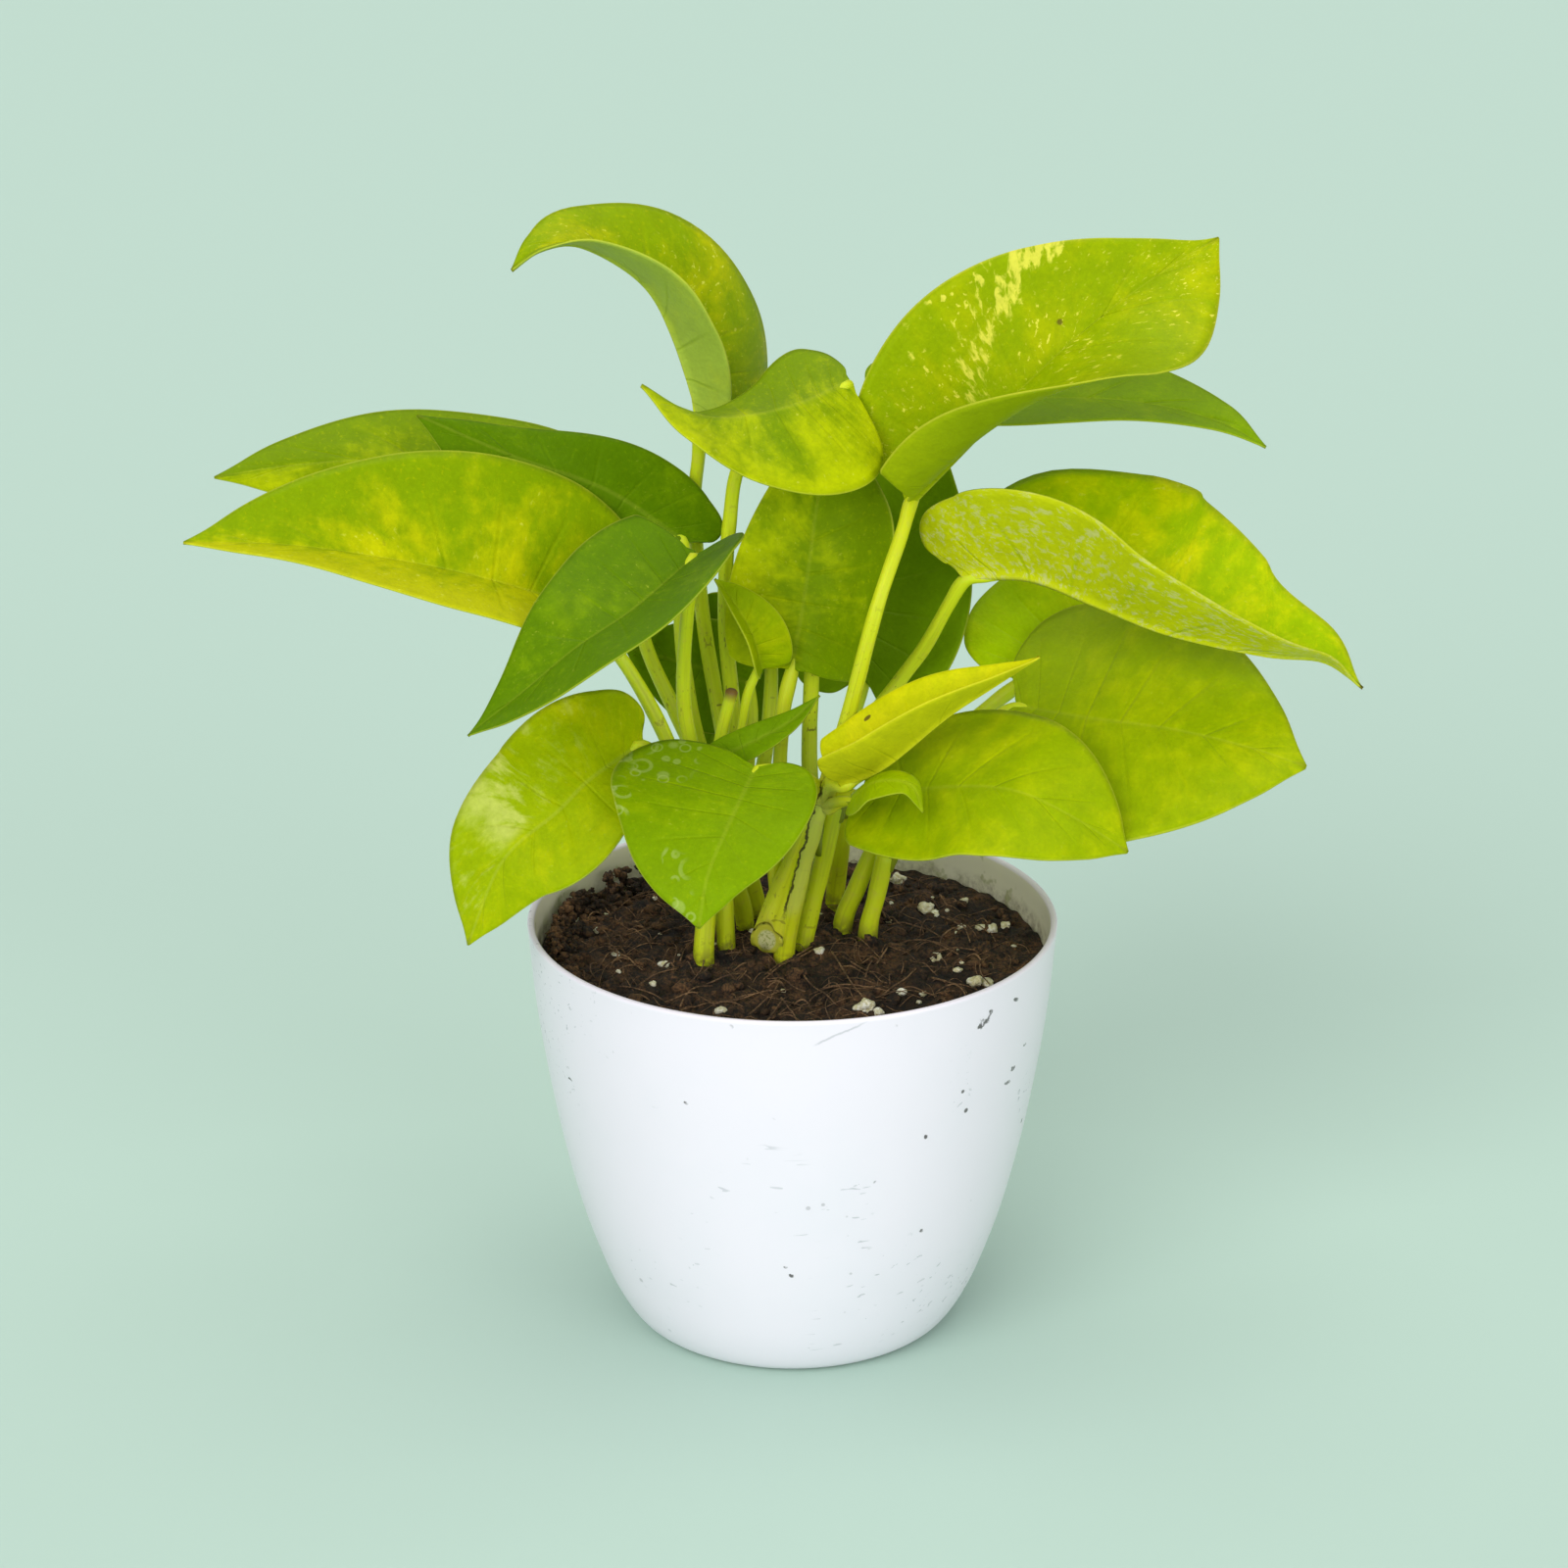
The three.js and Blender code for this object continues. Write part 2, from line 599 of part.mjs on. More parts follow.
function potGeometry() {
  const innerWall = POT_PROFILE.filter(([, z]) => z > 15 && z < POT_HEIGHT)
    .map(([r, z]) => [r - POT_WALL, z])
    .reverse();
  const profile = [
    [0, 0],
    ...POT_PROFILE.slice(0, -1),
    [POT_RIM_RADIUS - 0.1, POT_HEIGHT - LIP_ROUND],
    [POT_RIM_RADIUS - LIP_ROUND, POT_HEIGHT],
    [POT_RIM_RADIUS - POT_WALL + LIP_ROUND, POT_HEIGHT],
    [POT_RIM_RADIUS - POT_WALL, POT_HEIGHT - LIP_ROUND],
    ...innerWall,
    [potRadius(INNER_FOOT) - POT_WALL, INNER_FOOT],
    [potRadius(INNER_FOOT) - POT_WALL - 3, POT_FLOOR],
    [0, POT_FLOOR],
  ];
  const points = profile.map(([r, z]) => new THREE.Vector2(r, z));
  return new THREE.LatheGeometry(points, POT_SIDES).rotateX(Math.PI / 2);
}

// Potting mix: fills the pot up to a crumbly top that is mounded round the stems
const SOIL_RINGS = 11;

function soilHeight(x, y) {
  const mound = SOIL_MOUND * Math.exp(-(x * x + y * y) / (2 * 24 * 24));
  const crumb = Math.sin(0.41 * x + 1.3) * Math.cos(0.37 * y) + 0.6 * Math.sin(0.83 * x - 0.71 * y);
  return SOIL_TOP - SOIL_MOUND + mound + 0.5 * SOIL_CRUMB * crumb;
}

function soilGeometry() {
  const vertices = [new THREE.Vector3(0, 0, soilHeight(0, 0))];
  const triangles = [];
  const wallHeights = [75, 50, 30, INNER_FOOT + 1];
  const insideRadius = (z) => potRadius(z) - POT_WALL - GAP;
  const rimRadius = insideRadius(SOIL_TOP - 3);
  const circle = (radius, height) => {
    for (let k = 0; k < POT_SIDES; k += 1) {
      const angle = (2 * Math.PI * k) / POT_SIDES;
      const [x, y] = [radius * Math.cos(angle), radius * Math.sin(angle)];
      vertices.push(new THREE.Vector3(x, y, height ?? soilHeight(x, y)));
    }
  };
  for (let ring = 1; ring <= SOIL_RINGS; ring += 1) circle((rimRadius * ring) / SOIL_RINGS);
  for (const z of wallHeights) circle(insideRadius(z) - (z < 30 ? 1 : 0), z);
  circle(insideRadius(INNER_FOOT) - 4, POT_FLOOR + GAP);
  const foot = vertices.push(new THREE.Vector3(0, 0, POT_FLOOR + GAP)) - 1;
  const circles = SOIL_RINGS + wallHeights.length + 1;
  for (let k = 0; k < POT_SIDES; k += 1) {
    const next = (k + 1) % POT_SIDES;
    triangles.push([0, 1 + k, 1 + next]);
    for (let c = 0; c < circles - 1; c += 1) {
      const [a, b] = [1 + c * POT_SIDES + k, 1 + c * POT_SIDES + next];
      triangles.push([a, a + POT_SIDES, b + POT_SIDES], [a, b + POT_SIDES, b]);
    }
    const last = 1 + (circles - 1) * POT_SIDES;
    triangles.push([foot, last + next, last + k]);
  }
  return meshFrom(vertices, triangles);
}

// Assembly
const plant = new THREE.Group();
plant.name = "potted_golden_pothos";

function addNode(name, geometry, material) {
  const mesh = new THREE.Mesh(geometry, material);
  mesh.name = name;
  plant.add(mesh);
}

const leaves = {};
for (const [name, spec] of Object.entries(LEAVES)) {
  leaves[name] = { ...PLAIN_LEAF, ...spec, rib: smoothCurve(spec.rib) };
  addNode(name, blade(leaves[name]), LEAF_COLOURS[name] ?? LEAF_GREEN);
}

let soil = solidFrom(soilGeometry());
for (const [name, cutting] of Object.entries(CUTTINGS)) {
  addNode(name, geometryFrom(cuttingSolid(cutting, leaves)), STEM_GREEN);
  soil = soil.subtract(cuttingSolid(cutting, leaves, GAP));
}
addNode("soil", geometryFrom(largestBody(soil)), SOIL_BROWN);
addNode("pot", potGeometry(), POT_WHITE);

export default plant;
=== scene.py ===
"""Potted golden pothos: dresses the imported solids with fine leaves, stalks, potting mix and pot.

Lengths in the tables are millimetres in the part's own frame: +Z up, -Y towards the front, and the
origin in the middle of the pot's underside. Meshes are written in metres. Colours are linear red,
green and blue, or display codes such as 0x9BB402 that tone() turns into them.
"""

import logging
import math
from dataclasses import dataclass, field
from enum import Enum
from functools import partialmethod

import bpy
import numpy as np
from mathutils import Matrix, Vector


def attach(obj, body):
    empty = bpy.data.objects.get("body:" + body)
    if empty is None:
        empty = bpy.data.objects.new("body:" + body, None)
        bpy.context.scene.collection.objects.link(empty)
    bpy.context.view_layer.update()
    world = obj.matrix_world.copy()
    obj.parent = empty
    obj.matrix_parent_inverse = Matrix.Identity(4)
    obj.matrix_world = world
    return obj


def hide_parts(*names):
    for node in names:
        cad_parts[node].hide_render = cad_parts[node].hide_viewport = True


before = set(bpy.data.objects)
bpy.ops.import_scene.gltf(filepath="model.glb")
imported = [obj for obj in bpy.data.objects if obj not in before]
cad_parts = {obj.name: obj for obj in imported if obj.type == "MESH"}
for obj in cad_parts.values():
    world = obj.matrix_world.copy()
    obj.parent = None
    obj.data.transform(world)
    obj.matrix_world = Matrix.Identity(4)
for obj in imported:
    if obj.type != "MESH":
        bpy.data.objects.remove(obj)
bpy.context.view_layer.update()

LOG = logging.getLogger("potted_pothos")
MM = 0.001
ROOT_BODY = "root"
CURVE_SAMPLES = 401

Point = tuple[float, float, float]
Pair = tuple[float, float]
Colour = tuple[float, float, float]
Array = np.ndarray


# Curves and grids


def curve_points(points: Array, parameter: Array) -> Array:
    """Evaluates a uniform Catmull-Rom curve through points, its ends carried straight on.

    Args:
        points: control points, one row each.
        parameter: places from 0 at the first point to 1 at the last.

    Returns:
        One row for each parameter.
    """
    points = np.asarray(points, float)
    spans = len(points) - 1
    padded = np.vstack([2 * points[0] - points[1], points, 2 * points[-1] - points[-2]])
    place = np.clip(parameter, 0, 1) * spans
    index = np.minimum(place.astype(int), spans - 1)
    t = (place - index)[:, None]
    p0, p1, p2, p3 = (padded[index + k] for k in range(4))
    bend = (2 * p0 - 5 * p1 + 4 * p2 - p3) * t**2
    twist = (3 * p1 - p0 - 3 * p2 + p3) * t**3
    return 0.5 * (2 * p1 + (p2 - p0) * t + bend + twist)


class Spine:
    """A smooth curve through given points, read by shares of its length.

    Args:
        points: control points.
    """

    def __init__(self, points: list[Point]) -> None:
        """Measures the curve once, so that later reads are even along it."""
        self.line = curve_points(np.array(points), np.linspace(0, 1, CURVE_SAMPLES))
        steps = np.linalg.norm(np.diff(self.line, axis=0), axis=1)
        self.run = np.concatenate([[0], np.cumsum(steps)])
        self.length = float(self.run[-1])

    def at(self, share: Array) -> Array:
        """Returns the points at the given shares of the length."""
        distance = np.clip(share, 0, 1) * self.length
        return np.stack([np.interp(distance, self.run, self.line[:, k]) for k in range(3)], -1)

    def along(self, share: Array) -> Array:
        """Returns the unit tangents at the given shares of the length."""
        step = 1e-3
        return unit(self.at(np.minimum(share + step, 1)) - self.at(np.maximum(share - step, 0)))


def unit(vectors: Array) -> Array:
    """Scales each vector of an array to length one."""
    return vectors / np.maximum(np.linalg.norm(vectors, axis=-1, keepdims=True), 1e-9)


def smooth_step(low: float, high: float, value: Array) -> Array:
    """Rises smoothly from 0 at low to 1 at high."""
    t = np.clip((value - low) / (high - low), 0, 1)
    return t * t * (3 - 2 * t)


def circle(sides: int) -> Array:
    """Evenly spaced angles round a circle."""
    return np.linspace(0, 2 * np.pi, sides, endpoint=False)


def lattice_value(cell: Array, seed: int) -> Array:
    """Gives each cell a fixed random value by multiplying and mixing its whole numbers.

    Args:
        cell: rows of three whole numbers.
        seed: picks the random values.

    Returns:
        One value between -1 and 1 for each cell.
    """
    mixed = cell[..., 0] * 374761393 + cell[..., 1] * 668265263 + cell[..., 2] * 2147483647
    mixed = mixed + seed * 1442695041
    mixed = (mixed ^ (mixed >> 13)) * 1274126177
    mixed = mixed ^ (mixed >> 16)
    return (mixed & 0xFFFF) / 32767.5 - 1


def value_noise(points: Array, scale: float, seed: int) -> Array:
    """Smooth noise between -1 and 1 from random values on a lattice.

    Each point takes the eight random values at the corners of its cell, blended with the
    smooth step of its place in the cell.

    Args:
        points: rows of three coordinates.
        scale: size of a cell in the same unit.
        seed: picks the random values.

    Returns:
        One value for each point.
    """
    cell = np.floor(points / scale).astype(np.int64)
    t = points / scale - cell
    t = t * t * (3 - 2 * t)
    total = np.zeros(points.shape[:-1])
    for corner in range(8):
        step = np.array([corner & 1, corner >> 1 & 1, corner >> 2 & 1])
        weight = np.prod(np.where(step, t, 1 - t), axis=-1)
        total += weight * lattice_value(cell + step, seed)
    return total


def grid_faces(rows: int, columns: int, closed: bool = False) -> Array:
    """Lists the quads of a grid whose vertices are stored row by row.

    Args:
        rows: number of vertex rows.
        columns: number of vertices in a row.
        closed: whether the last column joins the first.

    Returns:
        One row of four vertex numbers for each quad.
    """
    row = np.arange(rows - 1)[:, None] * columns
    column = np.arange(columns if closed else columns - 1)[None, :]
    right = (column + 1) % columns
    corners = [row + column, row + right, row + columns + right, row + columns + column]
    return np.stack([c.ravel() for c in corners], axis=1)


@dataclass
class Surface:
    """A mesh in the making: vertices in millimetres, faces, and a value per vertex for shading."""

    vertices: Array
    faces: list[Array]
    values: dict[str, Array] = field(default_factory=dict)


def joined(parts: list[Surface]) -> Surface:
    """Joins surfaces into one.

    Args:
        parts: surfaces with the same kinds of values.

    Returns:
        The joined surface.
    """
    starts = np.cumsum([0, *[len(p.vertices) for p in parts[:-1]]])
    faces = [f + start for p, start in zip(parts, starts) for f in p.faces]
    values = {k: np.concatenate([p.values[k] for p in parts]) for k in parts[0].values}
    return Surface(np.concatenate([p.vertices for p in parts]), faces, values)


def ringed(rings: Array, first_pole: Array, last_pole: Array) -> Surface:
    """Closed surface through rings of vertices, with a fan of triangles at each end.

    Args:
        rings: vertices, ring by ring.
        first_pole: point that closes the first ring.
        last_pole: point that closes the last ring.

    Returns:
        The surface, without values.
    """
    count, sides = rings.shape[:2]
    k = np.arange(sides)
    after, total = (k + 1) % sides, count * sides
    start = np.stack([np.full(sides, total), after, k], axis=1)
    end = np.stack([np.full(sides, total + 1), total - sides + k, total - sides + after], axis=1)
    vertices = np.concatenate([rings.reshape(-1, 3), first_pole[None], last_pole[None]])
    return Surface(vertices, [grid_faces(count, sides, closed=True), start, end])


def tube(points: list[Point], radii: Pair | Array, rings: int, sides: int = 20,
         wobble: float = 0.0, groove: float = 0.0, seed: int = 0) -> Surface:
    """Round stalk: rings carried along a smooth curve, closed by a rounded cap at each end.

    Each ring stands square to the curve. Its first direction is the last ring's, less what lies
    along the new tangent, so the stalk doesn't twist. A groove runs up the front to the head.

    Args:
        points: places that the stalk passes through.
        radii: radius at the foot and at the head, or one for each ring.
        rings: number of rings.
        sides: vertices in a ring.
        wobble: uneven swelling, as a share of the radius.
        groove: depth of the groove, as a share of the radius.
        seed: picks the swelling.

    Returns:
        A closed surface with values "along" (0 at the foot, 1 at the head) and "around".
    """
    spine, share = Spine(points), np.linspace(0, 1, rings)
    centre, tangent = spine.at(share), spine.along(share)
    radius = np.interp(share, [0, 1], radii) if len(radii) == 2 else np.asarray(radii)
    first = np.zeros((rings, 3))
    guide = np.array([0.31, -0.94, 0.12])
    for ring in range(rings):
        guide = unit(guide - tangent[ring] * (guide @ tangent[ring]))
        first[ring] = guide
    second = np.cross(tangent, first)
    angle = circle(sides)
    spoke = first[:, None] * np.cos(angle)[:, None] + second[:, None] * np.sin(angle)[:, None]
    turned_away = np.minimum(angle, 2 * np.pi - angle)
    dent = groove * np.exp(-((turned_away / 0.42) ** 2)) * smooth_step(0.95, 0.5, share)[:, None]
    place = centre[:, None] + spoke * (radius[:, None] * (1 - dent))[..., None]
    if wobble:
        swell = radius[:, None] * wobble * value_noise(place, 6.0, seed)
        place = place + spoke * swell[..., None]
    foot, head = (
        centre[end] + spoke[end] * radius[end] * 0.7 + way * tangent[end] * radius[end] * 0.35
        for end, way in ((0, -1), (-1, 1))
    )
    rows = np.concatenate([foot[None], place, head[None]])
    stalk = ringed(rows, foot.mean(0), head.mean(0))
    stalk.faces = [faces[:, ::-1] for faces in stalk.faces]
    count = len(stalk.vertices)
    stalk.values = {
        "along": np.concatenate([np.concatenate([[0], share, [1]]).repeat(sides), [0, 1]]),
        "around": np.concatenate([np.tile(np.cos(angle), rings + 2), [0, 0]]),
        "length": np.full(count, spine.length),
        "cut": np.zeros(count),
        "dried": np.zeros(count),
    }
    return stalk


def make_piece(name: str, surface: Surface, material: bpy.types.Material, slot: str,
               *nodes: str) -> None:
    """Turns a surface into a piece at the origin, dresses it and rides it on the plant's body.

    Args:
        name: name of the piece.
        surface: vertices in millimetres, faces and values per vertex.
        material: its finish.
        slot: the record's material slot; not used.
        *nodes: solids that it replaces.
    """
    mesh = bpy.data.meshes.new(name)
    faces = sum((block.tolist() for block in surface.faces), [])
    mesh.from_pydata((surface.vertices * MM).tolist(), [], faces, shade_flat=False)
    mesh.update()
    for key, value in surface.values.items():
        layer = mesh.attributes.new(key, "FLOAT", "POINT")
        layer.data.foreach_set("value", value.astype(np.float32))
    mesh.validate()
    mesh.materials.append(material)
    piece = bpy.data.objects.new(name, mesh)
    bpy.context.collection.objects.link(piece)
    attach(piece, ROOT_BODY)
    if nodes:
        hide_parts(*nodes)
    LOG.info("%s: %d vertices", piece.name, len(mesh.vertices))


# Finishes


class Value:
    """A number or colour inside a material; arithmetic on it adds math nodes.

    Args:
        kit: the material's nodes.
        socket: the output that gives the value.
    """

    def __init__(self, kit: "NodeKit", socket: bpy.types.NodeSocket) -> None:
        self.kit, self.socket = kit, socket

    def math(self, operation: str, *others: object) -> "Value":
        """Joins this value and others by a math operation."""
        inputs = dict(enumerate((self, *others)))
        return self.kit.node("Math", inputs, operation=operation)

    __add__ = partialmethod(math, "ADD")
    __sub__ = partialmethod(math, "SUBTRACT")
    __mul__ = partialmethod(math, "MULTIPLY")
    __truediv__ = partialmethod(math, "DIVIDE")
    __abs__ = partialmethod(math, "ABSOLUTE")

    def band(self, low: float, high: float) -> "Value":
        """Rises smoothly from 0 where the value is low to 1 where it is high."""
        limits = dict(enumerate((self, low, high, 0, 1)))
        return self.kit.node("MapRange", limits, interpolation_type="SMOOTHSTEP")

    def lay(self, colour: object, share: object) -> "Value":
        """Lays a colour over this one by a share."""
        return self.kit.mix(share, self, colour)


class NodeKit:
    """Shorthand for building one material's nodes.

    Args:
        name: name of the material.
    """

    def __init__(self, name: str) -> None:
        """Starts an empty material with its surface shader and output."""
        self.material = bpy.data.materials.new(name)
        self.material.use_nodes = True
        self.tree = self.material.node_tree
        self.tree.nodes.clear()
        output = self.tree.nodes.new("ShaderNodeOutputMaterial")
        self.shader = self.tree.nodes.new("ShaderNodeBsdfPrincipled")
        self.tree.links.new(self.shader.outputs[0], output.inputs[0])

    def feed(self, node: bpy.types.Node, inputs: dict[str | int, object]) -> None:
        """Sets a node's inputs to numbers or colours, or links them to values.

        Args:
            node: the node.
            inputs: values, numbers, colours or their display codes, by name or number of input.
        """
        for name, value in inputs.items():
            socket = node.inputs[name]
            if isinstance(value, Value):
                self.tree.links.new(value.socket, socket)
            elif socket.type == "RGBA":
                socket.default_value = (*(tone(value) if isinstance(value, int) else value), 1)
            else:
                socket.default_value = value

    def node(self, kind: str, inputs: dict[str | int, object], output: int | str = 0,
             **settings: object) -> Value:
        """Adds a node.

        Args:
            kind: its kind of shader node.
            inputs: what its inputs are fed with, by name or number.
            output: the output that is read.
            **settings: its properties.

        Returns:
            The output's value.
        """
        made = self.tree.nodes.new(f"ShaderNode{kind}")
        for key, value in settings.items():
            setattr(made, key, value)
        self.feed(made, inputs)
        return Value(self, made.outputs[output])

    def mix(self, share: object, first: object, second: object, blend: str = "MIX") -> Value:
        """Mixes two colours by a share."""
        inputs = {0: share, 6: first, 7: second}
        return self.node("Mix", inputs, 2, data_type="RGBA", blend_type=blend)

    def attribute(self, name: str) -> Value:
        """Reads a value stored on the mesh."""
        return self.node("Attribute", {}, "Fac", attribute_name=name)

    def vector(self, *parts: object) -> Value:
        """Builds a vector from three values."""
        return self.node("CombineXYZ", dict(enumerate(parts)))

    def parts(self, vector: Value) -> list[Value]:
        """Splits a vector into its three values."""
        x = self.node("SeparateXYZ", {0: vector})
        return [Value(self, socket) for socket in x.socket.node.outputs]

    def noise(self, place: Value, scale: float, detail: float = 3, rough: float = 0.55,
              distortion: float = 0) -> Value:
        """Smooth noise between 0 and 1 at a place."""
        names = ("Vector", "Scale", "Detail", "Roughness", "Distortion")
        return self.node("TexNoise", dict(zip(names, (place, scale, detail, rough, distortion))))

    def cells(self, place: Value, scale: float) -> Value:
        """Distance to scattered points."""
        return self.node("TexVoronoi", {"Vector": place, "Scale": scale}, "Distance")

    def object_place(self) -> Value:
        """Object coordinates, in metres."""
        return self.node("TexCoord", {}, "Object")

    def bump(self, height: Value, strength: float, distance: float) -> None:
        """Adds fine relief to the shader's normal."""
        relief = self.node("Bump", {"Strength": strength, "Distance": distance, "Height": height})
        self.feed(self.shader, {"Normal": relief})

    def surface(self, colour: object, rough: object, **constants: object) -> bpy.types.Material:
        """Sets the shader's sockets.

        Args:
            colour: base colour.
            rough: roughness.
            **constants: fixed values of other sockets, with _ for the blanks in their names.

        Returns:
            The finished material.
        """
        self.feed(self.shader, {"Base Color": colour, "Roughness": rough})
        for name, value in constants.items():
            self.feed(self.shader, {name.replace("_", " "): value})
        return self.material


def tone(code: int) -> Colour:
    """Turns a display colour such as 0x9BB402 into linear red, green and blue."""
    shares = [(code >> shift & 255) / 255 for shift in (16, 8, 0)]
    return tuple(s / 12.92 if s <= 0.04045 else ((s + 0.055) / 1.055) ** 2.4 for s in shares)


BROWN = (0.1, 0.06, 0.012)
# Painted sheen: the pale colour of the fine speckles of sheen on leaf undersides.
SHEEN_SPECKLE = (0.6, 0.6, 0.24)
# Painted glints: the pale colour of the glint rings.
GLINT_RING = (0.52, 0.62, 0.2)
SIDE_VEINS = 9


class BladeKit(NodeKit):
    """Nodes of a leaf, with the values that its mesh carries and the noises that it is made of.

    Args:
        name: name of the material.
        seed: moves the patterns, so that no two leaves match.
    """

    def __init__(self, name: str, seed: float) -> None:
        """Reads the values and lays out the flat place of the patterns."""
        super().__init__(name)
        self.seed = seed
        self.x, self.y = self.attribute("flat_x"), self.attribute("flat_y")
        self.across, self.row = self.attribute("across"), self.attribute("row")
        self.edge = abs(self.across)
        self.flat = self.vector(self.x * MM, self.y * MM, seed)
        self.clouds = self.noise(self.flat, 42, 5, 0.6, 0.5)
        self.mottle = self.noise(self.flat, 190, 4, 0.65)

    def along_veins(self, wide: float, close: float, shift: float, detail: float) -> Value:
        """Noise drawn out along the side veins: wide counts it across, close along the rib."""
        place = self.vector(self.across * wide, self.row * close, self.seed + shift)
        return self.noise(place, 1.0, detail, 0.6, 0.35)

    def side_vein(self) -> Value:
        """Thin lines where the row is a whole number of side veins, fading towards the margin."""
        place = (self.row * SIDE_VEINS + 0.5).math("FRACT")
        return abs(place - 0.5).band(0.07, 0.0) * self.edge.band(0.95, 0.35)


@dataclass(frozen=True)
class LeafFinish:
    """Colours, as display codes, and pattern of one leaf's two faces.

    golden is how much of the blade the gold clouds cover, flecks how many bright flecks lie along
    the side veins, streaks how much of it is cream, and sheen_speckles how much painted sheen
    speckles the underside.
    lean draws the gold towards the right half, or the left where it is negative, and glints is how
    strongly painted glints lie on it in pale rings. belt places the cream: the row where it leaves
    the rib, how far on it is at the margin, the half it lies on, -1 for the left and 1 for the
    right, and how softly it ends. dry is how brown the tip is, and scar is the flat place of a dark
    mark.
    """

    green: int
    gold: int
    under: int
    pale: int = 0xD6D84E
    golden: float = 0.35
    flecks: float = 0.4
    streaks: float = 0.0
    sheen_speckles: float = 0.0
    lean: float = 0.0
    glints: float = 0.0
    belt: tuple[float, float, float, float] = (0.42, 0.22, -1, 0.0)
    dry: float = 0.25
    scar: tuple[float, ...] = ()

    def material(self, name: str, seed: float) -> bpy.types.Material:
        """Builds the leaf's material.

        Gold clouds, flecks and cream streaks stretched along the side veins lie over the green.
        The midrib and the margin are paler, the underside is duller and speckled with painted
        sheen, painted glints lie in pale rings on the glinted leaf, and small brown flecks are
        scattered about.

        Args:
            name: name of the material.
            seed: moves the patterns, so that no two leaves match.

        Returns:
            The material.
        """
        kit = BladeKit(name, seed)
        clouds, mottle, under = kit.clouds, kit.mottle, kit.attribute("under")
        grain, drift = kit.noise(kit.flat, 1100, 3, 0.6), kit.along_veins(2.6, 24, 0, 5)
        mixed = clouds * 0.6 + mottle * 0.24 + drift * 0.3 + kit.across * self.lean - 0.07
        start = 0.6 - 0.32 * self.golden
        gold_share = mixed.band(start, start + 0.3)
        colour = kit.mix(gold_share, self.green, self.gold)
        more = 0.06 * self.flecks
        fleck = kit.along_veins(16, 100, 3, 3).band(0.66 - more, 0.74 - more)
        colour = colour.lay(self.pale, fleck * mixed.band(0.42, 0.6) * self.flecks)
        stipple = kit.noise(kit.flat, 800, 3, 0.65).band(0.56, 0.7)
        colour = colour.lay(self.gold, stipple * 0.3)
        if self.streaks:
            colour = colour.lay(self.pale, self.cream(kit) * self.streaks)
        rib = (abs(kit.x) / (kit.y * -0.007 + 0.85)).band(1.0, 0.2)
        vein = kit.side_vein()
        colour = colour.lay(self.gold, vein * 0.08).lay(self.pale, rib * 0.08)
        dull = kit.mix(gold_share * 0.35, self.under, self.gold)
        dull = dull.lay(self.green, vein * 0.3).lay(self.pale, rib * 0.3)
        # Painted sheen: fine pale speckles along the veins of the underside.
        sheen = kit.along_veins(16, 80, 7, 4).band(0.5, 0.66)
        colour = colour.lay(dull.lay(SHEEN_SPECKLE, sheen * self.sheen_speckles), under)
        shade = mottle * 0.35 + grain * 0.3 + 0.67
        colour = kit.mix(1.0, colour, kit.vector(shade, shade, shade), "MULTIPLY")
        colour = colour.lay(self.pale, kit.edge.band(0.98, 0.998) * 0.3)
        # Painted glints: pale rings where light catches the leaf.
        if self.glints:
            colour = self.painted_glints(kit, colour)
        spots = kit.cells(kit.flat, 75).band(0.07, 0.03) * clouds.band(0.6, 0.62)
        colour = colour.lay(BROWN, spots * 0.8)
        colour = colour.lay(BROWN, kit.row.band(0.965, 0.99) * self.dry)
        if self.scar:
            scar_x, scar_y = self.scar
            aside = (kit.x + mottle * 1.5 - (scar_x + 0.75)) * 2.2
            up = kit.y + kit.x * 0.35 - (scar_y + 0.35 * scar_x)
            colour = colour.lay(BROWN, (aside * aside + up * up).band(1.6, 0.8) * 0.9)
        rough = mottle * 0.14 + grain * 0.12 + under * 0.12 + 0.34
        kit.bump(mottle * 0.8 + grain * 0.15 + vein * -0.45 + drift * 0.5, 0.45, 0.0007)
        tint = (0.8, 1.0, 0.15)
        return kit.surface(colour, rough, Specular_IOR_Level=0.2, Specular_Tint=tint)

    def painted_glints(self, kit: BladeKit, colour: Value) -> Value:
        """Painted glints: pale rings, small and large, laid on the right half where light catches
        the leaf.

        Args:
            kit: the leaf's nodes.
            colour: its colour so far.

        Returns:
            The colour with the rings.
        """
        zone = kit.across.band(0.35, 0.6) * kit.noise(kit.flat, 110, 1).band(0.48, 0.54)
        for scale in (150, 290):
            away = kit.cells(kit.flat, scale)
            ring = away.band(0.26, 0.3) * away.band(0.42, 0.37)
            colour = colour.lay(GLINT_RING, ring * zone * self.glints)
        return colour

    def cream(self, kit: BladeKit) -> Value:
        """A ragged belt of cream along one side vein, breaking up into flecks beside it.

        Args:
            kit: the leaf's nodes.

        Returns:
            The share of cream.
        """
        start, drift, half, soft = self.belt
        streak = kit.along_veins(3.2, 40, 11, 4)
        away = abs(kit.row + kit.across * (-drift * half) + streak * 0.12 - (0.06 + start))
        ragged = streak + kit.mottle * 0.6 + away.band(0.085, 0.0) * 0.36 - 0.3
        share = ragged.band(0.69 - soft, 0.77 + soft) * (kit.across * half).band(0.05, 0.25)
        share = share * away.band(0.42, 0.15)
        if not soft:
            torn = kit.along_veins(7, 100, 17, 3) + kit.across * (0.1 * half)
            share = share * torn.band(0.5, 0.68)
        return share


